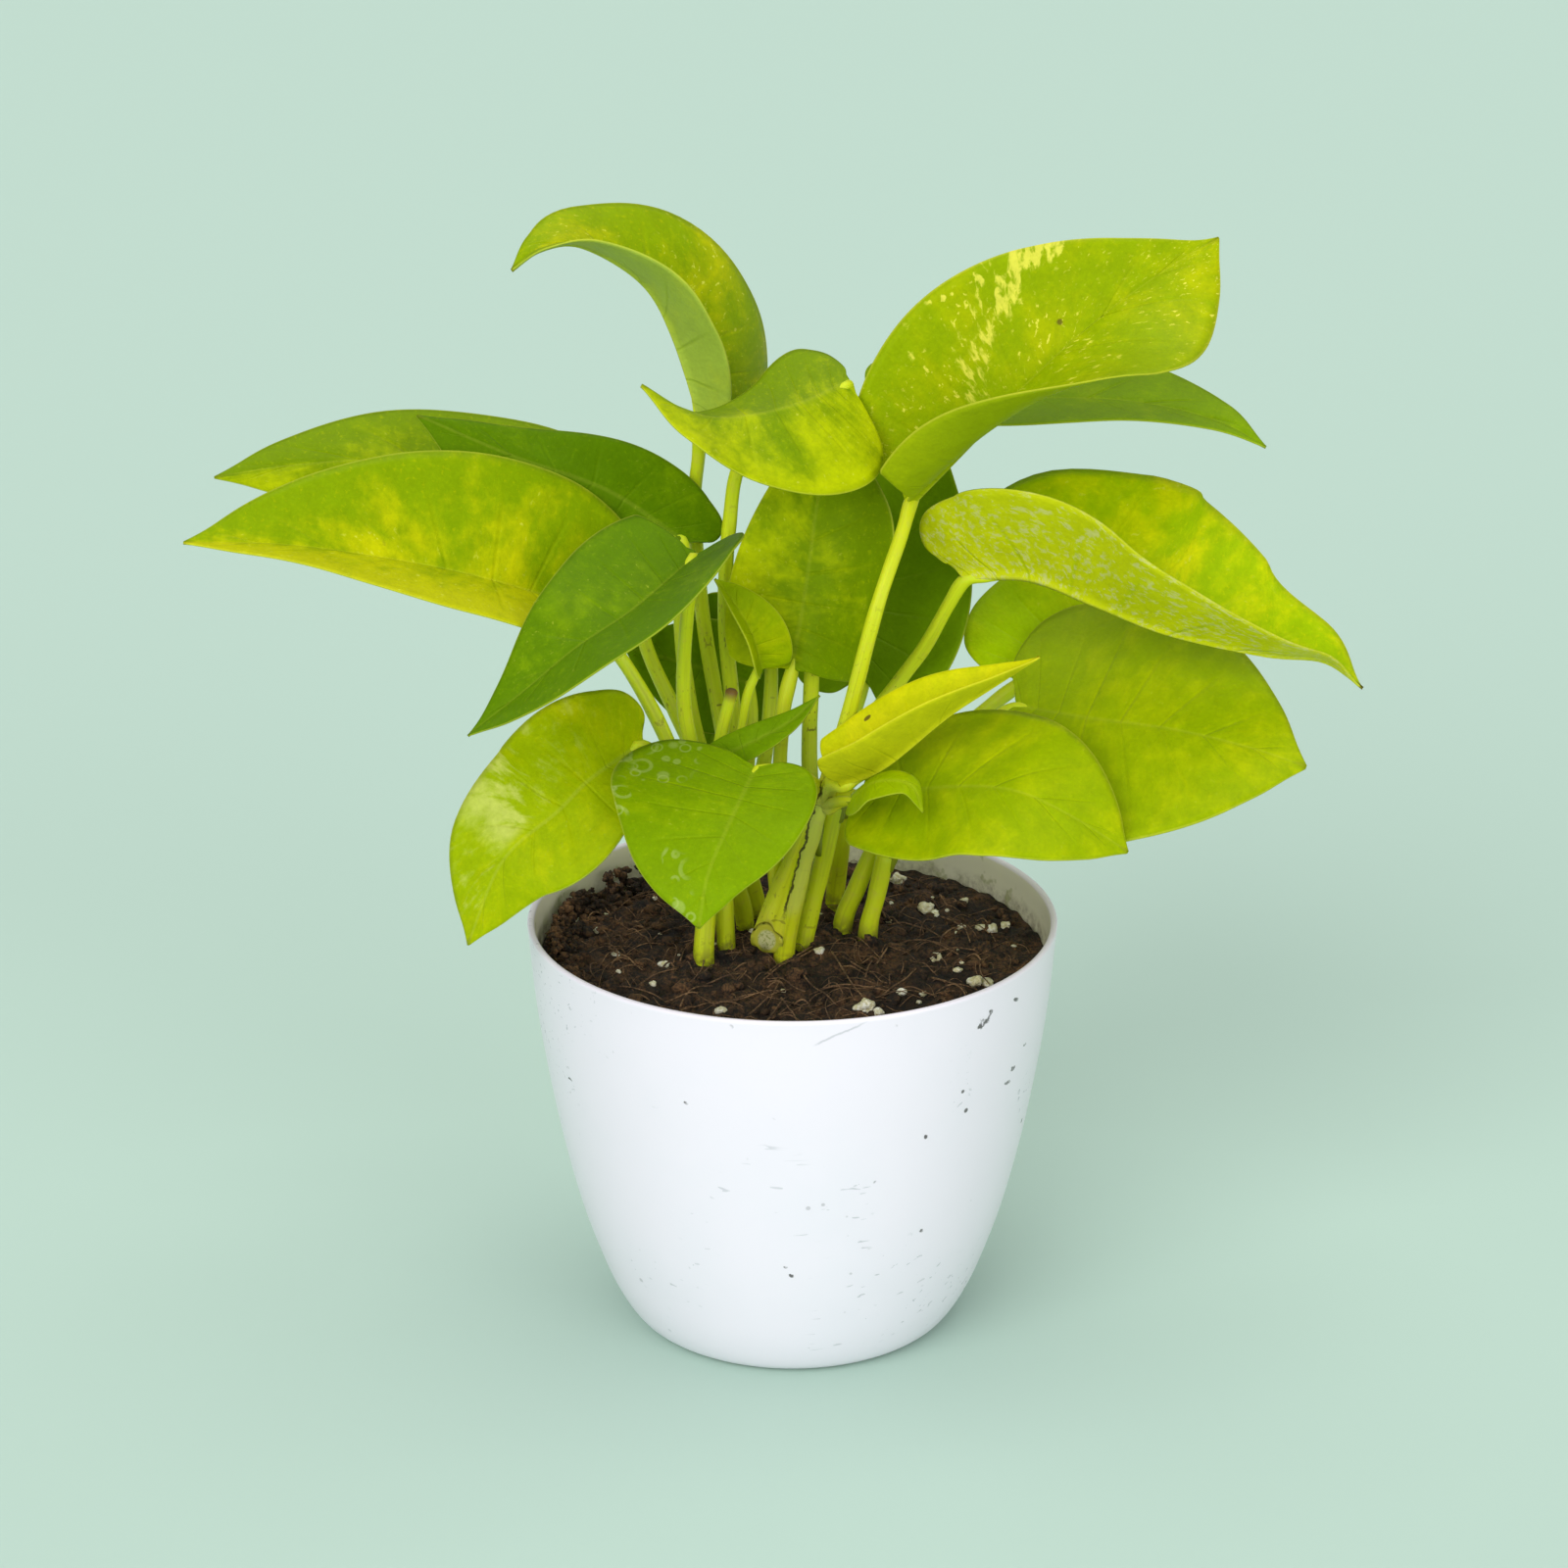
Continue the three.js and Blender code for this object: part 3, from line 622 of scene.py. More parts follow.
@dataclass(frozen=True)
class StalkFinish:
    """Smooth yellow-green stalks with fine lengthwise lines and brown flecks.

    slit is how dark the long split in the old cane's sheath is.
    """

    foot: Colour = (0.22, 0.27, 0.008)
    head: Colour = (0.64, 0.74, 0.01)
    pith: Colour = (0.72, 0.72, 0.34)
    fleck: Colour = (0.07, 0.035, 0.01)
    flecks: float = 0.8
    slit: float = 0.0

    def material(self, name: str, seed: float) -> bpy.types.Material:
        """Builds the stalk's material: darker at the foot, streaked along, flecked with brown.

        A cut face shows pale speckled pith inside a yellow rim, and a dried end is brown.

        Args:
            name: name of the material.
            seed: moves the pattern.

        Returns:
            The material.
        """
        kit = NodeKit(name)
        along, around, cut = (kit.attribute(key) for key in ("along", "around", "cut"))
        run = along * kit.attribute("length")
        lines = kit.noise(kit.vector(around * 6, run * 0.03, seed), 1.6, 4)
        colour = kit.mix(along.band(0.0, 0.35), self.foot, self.head)
        darker = tuple(0.5 * c for c in self.head)
        colour = colour.lay(darker, lines.band(0.45, 0.75) * 0.4)
        place = kit.object_place()
        blotch = kit.noise(place, 420, 3, 0.6)
        colour = colour.lay((0.6, 0.58, 0.06), blotch.band(0.5, 0.75) * 0.4)
        fleck = kit.noise(kit.vector(around * 3, run * 0.4, seed), 1.3, 2).band(0.63, 0.68)
        colour = colour.lay(self.fleck, fleck * along.band(0.85, 0.05) * self.flecks)
        x, _, z = kit.parts(place)
        if self.slit:
            colour = self.sheath(colour, x, z, blotch)
        muddy = z.band(0.0945, 0.0885) * blotch.band(0.3, 0.6)
        colour = colour.lay((0.06, 0.035, 0.015), muddy * 0.75)
        grain = kit.noise(place, 1500, 3, 0.7)
        face = kit.mix(grain.band(0.52, 0.6), self.pith, (0.4, 0.44, 0.1))
        colour = colour.lay((0.6, 0.6, 0.05), cut.band(0.3, 0.5)).lay(face, cut.band(0.55, 0.68))
        colour = colour.lay((0.2, 0.11, 0.02), kit.attribute("dried"))
        kit.bump(lines * 0.7 + blotch * 0.3, 0.4, 0.0004)
        glow = {"Subsurface_Weight": 0.1, "Subsurface_Scale": 0.002, "Specular_IOR_Level": 0.3}
        return kit.surface(colour, blotch * 0.2 + 0.36, **glow)

    def sheath(self, colour: Value, x: Value, z: Value, blotch: Value) -> Value:
        """Draws the dark slit that runs up the front of the old cane, and pale tissue beside it.

        Args:
            colour: the cane's colour so far.
            x: object coordinate to the right.
            z: object coordinate upwards.
            blotch: noise that makes the slit waver.

        Returns:
            The colour with the slit.
        """
        line = z * -0.252 + blotch * 0.0022 + x + 0.0265
        span = z.band(0.1, 0.104) * z.band(0.138, 0.134)
        beside = line.band(0.0, 0.0005) * line.band(0.0042, 0.0025)
        colour = colour.lay(self.pith, beside * span * 0.2)
        slit = abs(line).band(0.0004, 0.00018) * span
        return colour.lay((0.035, 0.025, 0.01), slit * self.slit)


POT_MARKS = (
    (41.9, 89.8, 1.5), (41, 88.6, 1), (43, 91, 0.9), (49.2, 90.7, 0.5), (51.7, 76.9, 0.5),
    (49, 72.7, 0.75), (47.7, 69.9, 0.7), (27.1, 86.4, 0.45), (29.2, 64.4, 0.6),
    (28.6, 38.9, 0.55), (-1.6, 33.6, 0.45), (-0.2, 31.1, 0.6), (-23.2, 75, 0.5),
    (-49.5, 69.1, 0.5), (39.8, 41.6, 0.4),
)


@dataclass(frozen=True)
class PotFinish:
    """Semi-gloss white plastic, faintly blue, with fine scratches and specks of soil.

    marks are the places (x, z) and radii of the marks on its front, in millimetres.
    """

    white: Colour = (0.9, 0.835, 0.93)
    inside: Colour = (0.95, 0.92, 0.62)
    dirt: Colour = (0.03, 0.022, 0.018)
    marks: tuple[Point, ...] = POT_MARKS

    def soiled(self, colour: Value, place: list[Value], grime: Value) -> Value:
        """Draws the marks with ragged edges, and one long faint scratch under the rim.

        Args:
            colour: the plastic's colour.
            place: object coordinates.
            grime: noise that makes the edges ragged.

        Returns:
            The colour with the marks.
        """
        x, y, z = place
        front = y.band(0.0, -0.005)
        for across, up, radius in self.marks:
            aside = x + grime * 0.003 - (across * MM + 0.0015)
            above = z - grime * 0.003 - (up * MM - 0.0015)
            square = (radius * MM) ** 2
            spot = (aside * aside + above * above).band(square, 0.3 * square)
            colour = colour.lay(self.dirt, spot * front * grime.band(0.4, 0.5) * 0.9)
        line = abs(z - x * 0.42 + grime * 0.0012 - 0.0902).band(0.0004, 0.0001)
        span = x.band(0.004, 0.006) * x.band(0.017, 0.013)
        return colour.lay((0.3, 0.31, 0.34), line * span * front * 0.4)

    def material(self, name: str) -> bpy.types.Material:
        """Builds the pot's material: clouded plastic, stains inside, specks, marks and scratches.

        Args:
            name: name of the material.

        Returns:
            The material.
        """
        kit = NodeKit(name)
        place, inside = kit.object_place(), kit.attribute("inside")
        cloud, grime = kit.noise(place, 30, 3), kit.noise(place, 260, 4, 0.7)
        x, y, z = kit.parts(place)
        colour = kit.mix(cloud.band(0.4, 0.75) * 0.3, self.white, (0.81, 0.8, 0.88))
        colour = colour.lay(self.inside, inside * (cloud * 0.5 + 0.5))
        wet_line = z.band(0.092, 0.089) * inside * grime.band(0.35, 0.75)
        colour = colour.lay((0.2, 0.15, 0.08), wet_line * 0.7)
        moss = kit.noise(place, 150, 3, 0.6).band(0.6, 0.68) * inside
        colour = colour.lay((0.3, 0.33, 0.06), moss * 0.5)
        specks = kit.cells(place, 190).band(0.13, 0.09) * kit.noise(place, 60, 2).band(0.58, 0.6)
        colour = colour.lay(self.dirt, specks * (x.band(0.0, 0.045) * 0.6 + 0.3))
        colour = self.soiled(colour, [x, y, z], grime)
        turned = {0: place, "Rotation": (0.5, 0.35, 0.6), "Scale": (1, 14, 14)}
        scratch = kit.noise(kit.node("Mapping", turned), 60, 2, 0.4, 0.6)
        scratch = scratch.band(0.68, 0.69) * cloud.band(0.52, 0.6)
        colour = colour.lay((0.35, 0.36, 0.4), scratch * 0.5)
        kit.bump(kit.noise(place, 1800, 2) * 0.3 + scratch, 0.08, 0.0002)
        gloss = {"Specular_IOR_Level": 0.5, "Coat_Weight": 0.15, "Coat_Roughness": 0.2}
        return kit.surface(colour, cloud * 0.08 + 0.26 + scratch * 0.25, **gloss)


@dataclass(frozen=True)
class MixFinish:
    """Crumbs, fibres or grains of the potting mix; hollow_shade is how dark its patches of painted
    shade are.
    """

    dark: Colour
    light: Colour
    hollow_shade: float = 0.7
    roughness: float = 0.95

    def material(self, name: str) -> bpy.types.Material:
        """Builds a mottled matt material with patches of painted shade in its hollows.

        Args:
            name: name of the material.

        Returns:
            The material.
        """
        kit = NodeKit(name)
        place = kit.object_place()
        coarse, fine = kit.noise(place, 240, 5, 0.7), kit.noise(place, 1400, 3, 0.6)
        share = (coarse * 0.55 + fine * 0.45).band(0.4, 0.64)
        shade_patch = kit.noise(place, 90, 3, 0.6).band(0.42, 0.6)
        colour = kit.mix(share, self.dark, self.light)
        # Painted shade: patches darkened towards half the dark colour, standing in for shadowed
        # hollows between crumbs.
        colour = colour.lay(tuple(0.5 * c for c in self.dark), shade_patch * self.hollow_shade)
        kit.bump(fine + coarse, 0.9, 0.0009)
        return kit.surface(colour, fine * 0.1 + (self.roughness - 0.08))


MID_GREEN = LeafFinish(0x728E00, 0xB4C002, 0x8EA012, golden=0.5, lean=-0.14)
BACKLIT_GREEN = LeafFinish(0xACCC00, 0xCAD802, 0xC0D410, golden=0.42)
# A darker copy of the green for leaves that lie in shade: partly their own deeper green, partly
# painted shade.
DEEP_SHADED_GREEN = LeafFinish(0x567A00, 0x7F9C02, 0x7E960C, golden=0.32, flecks=0.3)
BACK_GREEN = LeafFinish(0x7A9C02, 0x9EB402, 0x9CB410, golden=0.3, flecks=0.15)
SHADED_GREEN = LeafFinish(0x6A8C02, 0x88A202, 0x82940E, golden=0.2, flecks=0.15)
BRIGHT_LIME = LeafFinish(0x90A800, 0xB2BC02, 0xA2B01C, golden=0.5, flecks=0.2)
MARBLED_LIME = LeafFinish(0x7E9A00, 0xBCBE02, 0xA6B424, golden=0.72, flecks=0.6, lean=-0.14)
# Painted highlight: this finish's soft pale belt on the right half stands in for a glossy glare,
# drawn with the cream belt.
GLARE_PATCHED_LIME = LeafFinish(0x96AC00, 0xB8BE02, 0xA2B01C, 0xD0D470, golden=0.55, flecks=0.3,
                          streaks=0.6, belt=(0.71, -0.12, 1, 0.2))
CREAM_STREAKED = LeafFinish(0x8CA400, 0xB2B802, 0x96A808, 0xE2DC50, golden=0.5, flecks=1.0,
                            streaks=0.85)
# This leaf carries painted glints in pale rings.
GLINTED_GREEN = LeafFinish(0x769600, 0x9AAE02, 0x8EA012, flecks=0.35, glints=0.25)
YELLOW_FLECKED = LeafFinish(0x849E00, 0xC6C204, 0xA6BC44, golden=0.45, flecks=0.9, dry=0.5)
# Its underside carries painted sheen in fine speckles.
SHEEN_SPECKLED = LeafFinish(0x98B600, 0xD8D404, 0xBEC610, golden=0.6, flecks=0.5, sheen_speckles=0.7, dry=0.8)
YOUNG_YELLOW = LeafFinish(0xC4C804, 0xD8D20C, 0xC2C414, 0xE6E242, golden=0.7, flecks=0.2,
                          scar=(-10.6, 14.0))


# Leaves


class LeafSlot(Enum):
    """The record's material slots for leaves."""

    GREEN = "leaf_green"
    LIME = "leaf_lime"
    YELLOW = "leaf_yellow"


BLADE, BLADE_RIM = 0.6, 0.34
LEAF_ROWS, LEAF_COLUMNS = 84, 20
COLUMN_CROWDING = 1.6
RIB_SPREAD = 1.7
BASE_DIP, BASE_END = 0.016, 0.05
OUTLINE = np.array([
    (0.045, 0), (0.3, -0.085), (0.68, -0.07), (0.93, 0.07), (1, 0.26),
    (0.92, 0.47), (0.7, 0.68), (0.4, 0.85), (0.14, 0.95), (0.015, 1),
])
NO_TURN, SHALLOW = ((0, 0), (0, 0)), ((10, 10), (10, 10))


@dataclass
class Leaf:
    """One blade, with the sizes of the solid that it replaces.

    rib runs from the stalk to the tip, face is the way the upper side looks at the stalk and at
    the tip, or all along, and half gives the left and right half widths. Each half leaves the
    rib at the fold angle and turns by the curl, both in degrees at the stalk and at the tip.
    """

    name: str
    rib: list[Point]
    face: list[Point]
    half: Pair
    lobe: Pair = (1, 1)
    belly: Pair = (0, 0)
    shoulder: Pair = (0, 0)
    taper: Pair = (0.2, 0.2)
    fold: tuple[Pair, Pair] = NO_TURN
    curl: tuple[Pair, Pair] = NO_TURN
    finish: LeafFinish = MID_GREEN
    slot: LeafSlot = LeafSlot.GREEN
    quilt: float = 0.12
    spine: Spine = field(init=False)

    def __post_init__(self) -> None:
        """Measures the rib once."""
        self.spine = Spine(self.rib)

    def normal_at(self, share: Array) -> Array:
        """Upper-side normals at the rib: the face direction less what lies along the rib.

        Args:
            share: shares of the rib's length.

        Returns:
            One unit normal for each share.
        """
        t = share[..., None]
        normal = np.array(self.face[0]) * (1 - t) + np.array(self.face[-1]) * t
        tangent = self.spine.along(share)
        return unit(normal - tangent * np.sum(normal * tangent, axis=-1, keepdims=True))

    def half_surface(self, side: int, u: Array, v: Array) -> tuple[Array, dict[str, Array]]:
        """One half of the blade's middle surface.

        The flat outline gives how far the half reaches at u. A point at share v lies on the side
        vein that leaves the rib at u to the power of the rib spread and ends on the outline at u.
        It is carried out from the rib along an arc: reach = half (sin(rise + turn s) - sin rise)
        / turn and lift = half (cos rise - cos(rise + turn s)) / turn.

        Args:
            side: 0 for the left half and 1 for the right, seen from the stalk.
            u: places along the outline, from the stalk to the tip.
            v: shares of the way from the rib to the margin.

        Returns:
            The points, one grid row for each u, and the values for shading.
        """
        half, sign, u, v = self.half[side], 1 if side else -1, u[:, None], v[None, :]
        width, edge = (curve_points(OUTLINE, u[:, 0])[:, k : k + 1] for k in (0, 1))
        edge = np.where(edge < 0, edge * self.lobe[side], edge)
        edge = edge - BASE_DIP * np.maximum(0, 1 - u / BASE_END)
        edge = edge + self.belly[side] * np.sin(np.pi * np.maximum(edge, 0))
        on_blade = np.clip(edge, 0, 1)
        shoulder = 1 - self.shoulder[side] * (1 - on_blade) ** 3
        share = v * width * (shoulder * (1 - self.taper[side] * on_blade**3))
        start = u**RIB_SPREAD
        station = (start + (edge - start) * v) * self.spine.length
        t = np.clip(station / self.spine.length, 0, 1)
        tangent, normal = self.spine.along(t), self.normal_at(t)
        across = np.cross(tangent, normal) * sign
        rise, turn = (
            np.radians(angles[side][0] + (angles[side][1] - angles[side][0]) * t)
            for angles in (self.fold, self.curl)
        )
        turn = np.where(np.abs(turn) < 1e-3, 1e-3, turn)
        reach = half * (np.sin(rise + turn * share) - np.sin(rise)) / turn
        lift = half * (np.cos(rise) - np.cos(rise + turn * share)) / turn
        point = self.spine.at(t) + across * reach[..., None] + normal * lift[..., None]
        point = point + tangent * np.minimum(station, 0)[..., None]
        flat = {"flat_x": sign * share * half, "flat_y": station}
        rows = {"row": np.broadcast_to(u, share.shape)}
        return point, {"across": sign * np.broadcast_to(v, share.shape), **rows, **flat}

    def grid(self) -> tuple[Array, dict[str, Array]]:
        """Both halves of the middle surface as one grid.

        Returns:
            The points, from the left margin to the right, and their values for shading.
        """
        u = np.linspace(0, 1, LEAF_ROWS)
        v = np.linspace(0, 1, LEAF_COLUMNS + 1) ** COLUMN_CROWDING
        (left, left_values), (right, values) = (self.half_surface(side, u, v) for side in (0, 1))
        for key, value in values.items():
            values[key] = np.concatenate([left_values[key][:, :0:-1], value], axis=1)
        return np.concatenate([left[:, :0:-1], right], axis=1), values

    def relief(self, middle: Array, values: dict[str, Array], seed: int) -> tuple[Array, Array]:
        """Heights that the fine blade adds above and below its middle surface.

        Between two side veins the blade swells by the quilt. The rib is a groove above and a
        tapering keel below, and the rim is thinner than the middle.

        Args:
            middle: the middle surface.
            values: its values for shading.
            seed: picks the unevenness.

        Returns:
            The heights above and below, in millimetres.
        """
        v, u = np.abs(values["across"]), values["row"]
        swell = np.sin(np.pi * (u * SIDE_VEINS % 1)) ** 0.8 - 0.6
        swell = swell * self.quilt * smooth_step(0.02, 0.2, v) * smooth_step(1, 0.55, v)
        swell = swell * smooth_step(0, 0.12, u) * smooth_step(1, 0.8, u)
        bend = swell + 0.45 * value_noise(middle, 15, seed) * smooth_step(0.1, 0.9, v)
        half_thick = 0.5 * (BLADE_RIM + (BLADE - BLADE_RIM) * smooth_step(1.0, 0.8, v))
        x, t = np.abs(values["flat_x"]), np.clip(values["flat_y"] / self.spine.length, 0, 1)
        size = min(1.0, max(self.half) / 20)
        groove = 0.12 * size * np.exp(-((x / 0.7) ** 2)) * smooth_step(1, 0.8, t)
        keel = size * (1 - 0.75 * t) * np.exp(-((x / (1.0 - 0.45 * t)) ** 2))
        return bend + half_thick - groove, bend - half_thick - keel * smooth_step(1, 0.92, t)

    def surface(self, seed: int) -> Surface:
        """Closed blade: the upper face, the under face and the rim between them.

        Args:
            seed: picks the unevenness.

        Returns:
            The surface with its values for shading.
        """
        middle, values = self.grid()
        rows, columns = middle.shape[:2]
        normal = unit(np.cross(np.gradient(middle, axis=1), np.gradient(middle, axis=0)))
        upward = normal[rows // 3, columns // 2] @ self.normal_at(np.full(1, 0.3))[0] > 0
        normal = normal if upward else -normal
        heights = self.relief(middle, values, seed)
        faces = [middle + normal * height[..., None] for height in heights]
        count = rows * columns
        upper = grid_faces(rows, columns)
        number = np.arange(count).reshape(rows, columns)
        border = [number[0], number[1:, -1], number[-1, -2::-1], number[-2::-1, 0]]
        loop = np.concatenate(border)[:-1]
        ahead = np.roll(loop, -1)
        rim = np.stack([ahead, loop, loop + count, ahead + count], axis=1)
        both = {k: np.tile(v.ravel(), 2) for k, v in values.items()}
        both["under"] = np.repeat([0.0, 1.0], count)
        return Surface(np.stack(faces).reshape(-1, 3), [upper, upper[:, ::-1] + count, rim], both)

    def build(self, seed: int) -> None:
        """Makes the leaf in place of its solid and dresses it."""
        material = self.finish.material(f"{self.name}_finish", seed * 0.37)
        make_piece(f"{self.name}_blade", self.surface(seed), material, self.slot.value, self.name)


LEAF_SEED = 11
LEAVES = [
    Leaf("leaf_tall_left",
         [(-20, 26, 205), (-26, 26, 225), (-33, 24, 238), (-46, 20, 247), (-55, 16, 247),
          (-61, 13, 243)],
         [(0.7, -0.7, 0.1), (0, -0.2, 1)], (22, 26), lobe=(0, 0.8), belly=(0.1, -0.08),
         shoulder=(0.6, 0), taper=(0.8, 0.3), fold=((100, 20), (20, 10)),
         curl=((0, 30), (-50, 10)), finish=YELLOW_FLECKED),
    Leaf("leaf_top_middle",
         [(12, -1, 222), (0, -9, 219), (-14, -15, 218), (-23, -19, 221), (-32, -21, 227)],
         [(0, -0.3, 1), (0, 0.1, 1)], (26, 17), lobe=(0.1, 0.6), belly=(-0.15, -0.22),
         shoulder=(0.25, 0), taper=(0.2, 0.7), fold=((-35, -25), (0, -10)),
         curl=((-20, 0), (10, -10))),
    Leaf("leaf_top_right",
         [(26, -5, 197), (51, -1, 222), (65, 3, 234), (78, 7, 243), (92, 11, 251)],
         [(-0.1, -1, 0.2), (0, -1, 0.3)], (33, 33), lobe=(0, 0), belly=(0.02, 0.14),
         shoulder=(0.3, 0.35), taper=(0.7, 0.1), fold=((0, 0), (90, 20)),
         curl=((10, 0), (120, -35)), finish=CREAM_STREAKED, slot=LeafSlot.LIME),
    Leaf("leaf_back_right",
         [(24, 20, 212), (48, 21, 212), (74, 19, 212), (93, 14, 209), (104, 10, 204)],
         [(0, -0.3, 1)], (18, 15), fold=SHALLOW, finish=BACK_GREEN),
    Leaf("leaf_middle_upright", [(0, -4, 158), (3, 2, 175), (6, 9, 195), (10, 14, 210)],
         [(-0.1, -1, 0.2), (0.1, -1, 0.2)], (17, 26), lobe=(0.3, 0.3),
         curl=((0, 10), (100, 60))),
    Leaf("leaf_middle_back", [(16, 14, 149), (22, 26, 166), (26, 36, 186), (30, 42, 205)],
         [(-0.2, -0.9, 0.3)], (20, 20), fold=SHALLOW,
         finish=SHADED_GREEN),
    Leaf("leaf_small_hooded", [(-7, -8, 159), (-9, -9, 167), (-13, -8, 174), (-17, -6, 179)],
         [(0.3, -0.9, 0.2)], (6, 8), lobe=(0.3, 0.3),
         fold=((60, 60), (10, 10)), curl=((0, 0), (30, 0)), finish=BRIGHT_LIME, quilt=0.05),
    Leaf("leaf_inner_left", [(-10, 22, 145), (-22, 22, 149), (-38, 18, 155)],
         [(0, -0.9, 0.4)], (14, 12), fold=((0, 0), (10, 10)),
         finish=SHADED_GREEN),
    Leaf("leaf_inner_hanging", [(-10, 28, 160), (-14, 36, 139), (-20, 41, 120)],
         [(0, -0.8, 0.5)], (14, 14), fold=((0, 0), (10, 10)),
         finish=SHADED_GREEN),
    Leaf("leaf_left_front",
         [(-21, -15, 187), (-34, -27, 179), (-46, -35, 173), (-57, -40, 165), (-69, -43, 156)],
         [(-0.2, -0.6, 0.75), (-0.2, -0.7, 0.7)], (20, 21), lobe=(1.2, 0.2), belly=(0, -0.05),
         taper=(0.2, 0.7), fold=((40, 30), (0, 0)), curl=((0, 0), (10, 0)), finish=DEEP_SHADED_GREEN),
    Leaf("leaf_left_upper",
         [(-24, 18.5, 179.5), (-41, 18.5, 191.5), (-62, 18.5, 199.5), (-83, 16.5, 209.5)],
         [(0, -0.5, 0.85)], (18, 13.5), belly=(0, -0.08),
         fold=((-45, -30), (15, 0)), curl=((0, 0), (10, 0)), finish=DEEP_SHADED_GREEN),
    Leaf("leaf_left_back",
         [(-37, 28, 182), (-63, 30, 190), (-89, 26, 196), (-110, 20, 197), (-128, 14, 196)],
         [(0, -0.5, 0.85)], (20, 18), fold=((-40, -20), (0, 10))),
    Leaf("leaf_left_large",
         [(-45, 0, 170), (-70, -7, 180), (-91, -12, 186), (-111, -16, 190), (-131, -18, 191)],
         [(0, -0.5, 0.85)], (23, 29), taper=(0.4, 0.3),
         fold=((30, 30), (25, 20)), curl=((-10, 0), (0, 0)), finish=MARBLED_LIME,
         slot=LeafSlot.LIME),
    Leaf("leaf_low_left",
         [(-33, -18, 145), (-44, -24, 139), (-51, -28, 133), (-63, -32, 123), (-71, -34, 104)],
         [(-0.3, -0.7, 0.6), (-0.3, -0.9, 0.3)], (19, 21), lobe=(0.2, 1), shoulder=(0.6, 0),
         finish=GLARE_PATCHED_LIME, slot=LeafSlot.LIME),
    Leaf("leaf_low_middle", [(-8, -28, 143), (-13, -42, 137), (-18, -52, 128), (-20, -58, 118)],
         [(-0.1, -0.65, 0.75), (-0.1, -0.8, 0.6)], (16, 29), finish=GLINTED_GREEN),
    Leaf("leaf_narrow", [(-17, -14, 140), (-8, -16, 145), (0, -14, 149), (6, -12, 154)],
         [(0, -0.8, 0.5), (0, -0.4, 0.9)], (4, 4), fold=SHALLOW,
         finish=SHADED_GREEN, quilt=0.05),
    Leaf("leaf_young_furled",
         [(11, -24, 138), (20, -26, 143), (33, -28, 155), (43, -28, 162), (53, -26, 168)],
         [(-0.5, -0.2, 0.8)], (13, 13.5), lobe=(0.3, 0.3),
         taper=(0.6, 0.6), fold=((80, 55), (60, 50)), curl=((-30, -30), (20, 0)),
         finish=YOUNG_YELLOW, slot=LeafSlot.YELLOW, quilt=0.05),
    Leaf("leaf_small_curled", [(13, -28, 136), (18, -34, 142), (25, -38, 143), (28, -39, 137)],
         [(0, -0.6, 0.8), (0.4, -0.6, 0.8)], (5, 5), curl=((-40, -40), (0, 0)),
         finish=BRIGHT_LIME, quilt=0.05),
    Leaf("leaf_low_right",
         [(15, -16, 132), (35, -26, 138), (48, -34, 140), (60, -39, 136), (72, -42, 129)],
         [(0.2, -0.6, 0.75)], (25, 22), lobe=(0, 0.3), belly=(0.1, 0.1),
         shoulder=(0.5, 0.3), finish=BRIGHT_LIME, slot=LeafSlot.LIME),
    Leaf("leaf_right_large",
         [(50, 4, 146), (65, -4, 146), (84, -12, 146), (100, -18, 144), (112, -22, 141)],
         [(0.35, -0.6, 0.7)], (38, 36), belly=(0, 0.08),
         finish=BRIGHT_LIME, slot=LeafSlot.LIME),
    Leaf("leaf_right_folded",
         [(38, 2, 177), (52, -2, 178), (67, -6, 173), (82, -10, 168), (103, -10, 163),
          (117, -6, 160), (126, -4, 153)],
         [(0.1, 0.1, 1), (0.3, -0.2, 1)], (43, 25), lobe=(0, 1), belly=(0.07, -0.05),
         shoulder=(0.5, 0), taper=(0.75, 0.7), fold=((45, 40), (65, 40)), finish=SHEEN_SPECKLED),
    Leaf("leaf_right_back", [(52, 18, 147), (65, 28, 154), (79, 36, 161), (95, 42, 168)],
         [(-0.2, -0.8, 0.5)], (22, 20), finish=BACKLIT_GREEN),
]


# Cuttings

ROOT_END, MIX_LEVEL = 65, 89
TRUNK_RADII = (2.5, 2.0)
STALK_RADII = (1.9, 1.4)
THIN_RADII = (1.3, 0.9)
THIN_STALKS = ("leaf_narrow", "leaf_small_hooded", "leaf_small_curled")
CUT_END_RADII = (3.8, 1.8)
CUT_FACING = (-0.3, -0.85, -0.3)
CUT_BACK = 2.4
CUT_STALK_RADII = (1.7, 1.4)
KEEL_SHARES, KEEL_DROPS = (0.0, 0.05, 0.11), (1.0, 0.75, 0.55)
RING_STEP, CUT_RING_STEP, FEWEST_RINGS = 1.1, 0.8, 24


def ring_count(points: list[Point], step: float = RING_STEP) -> int:
    """Number of rings that stand about a step apart on the curve through the points."""
    return int(Spine(points).length / step)


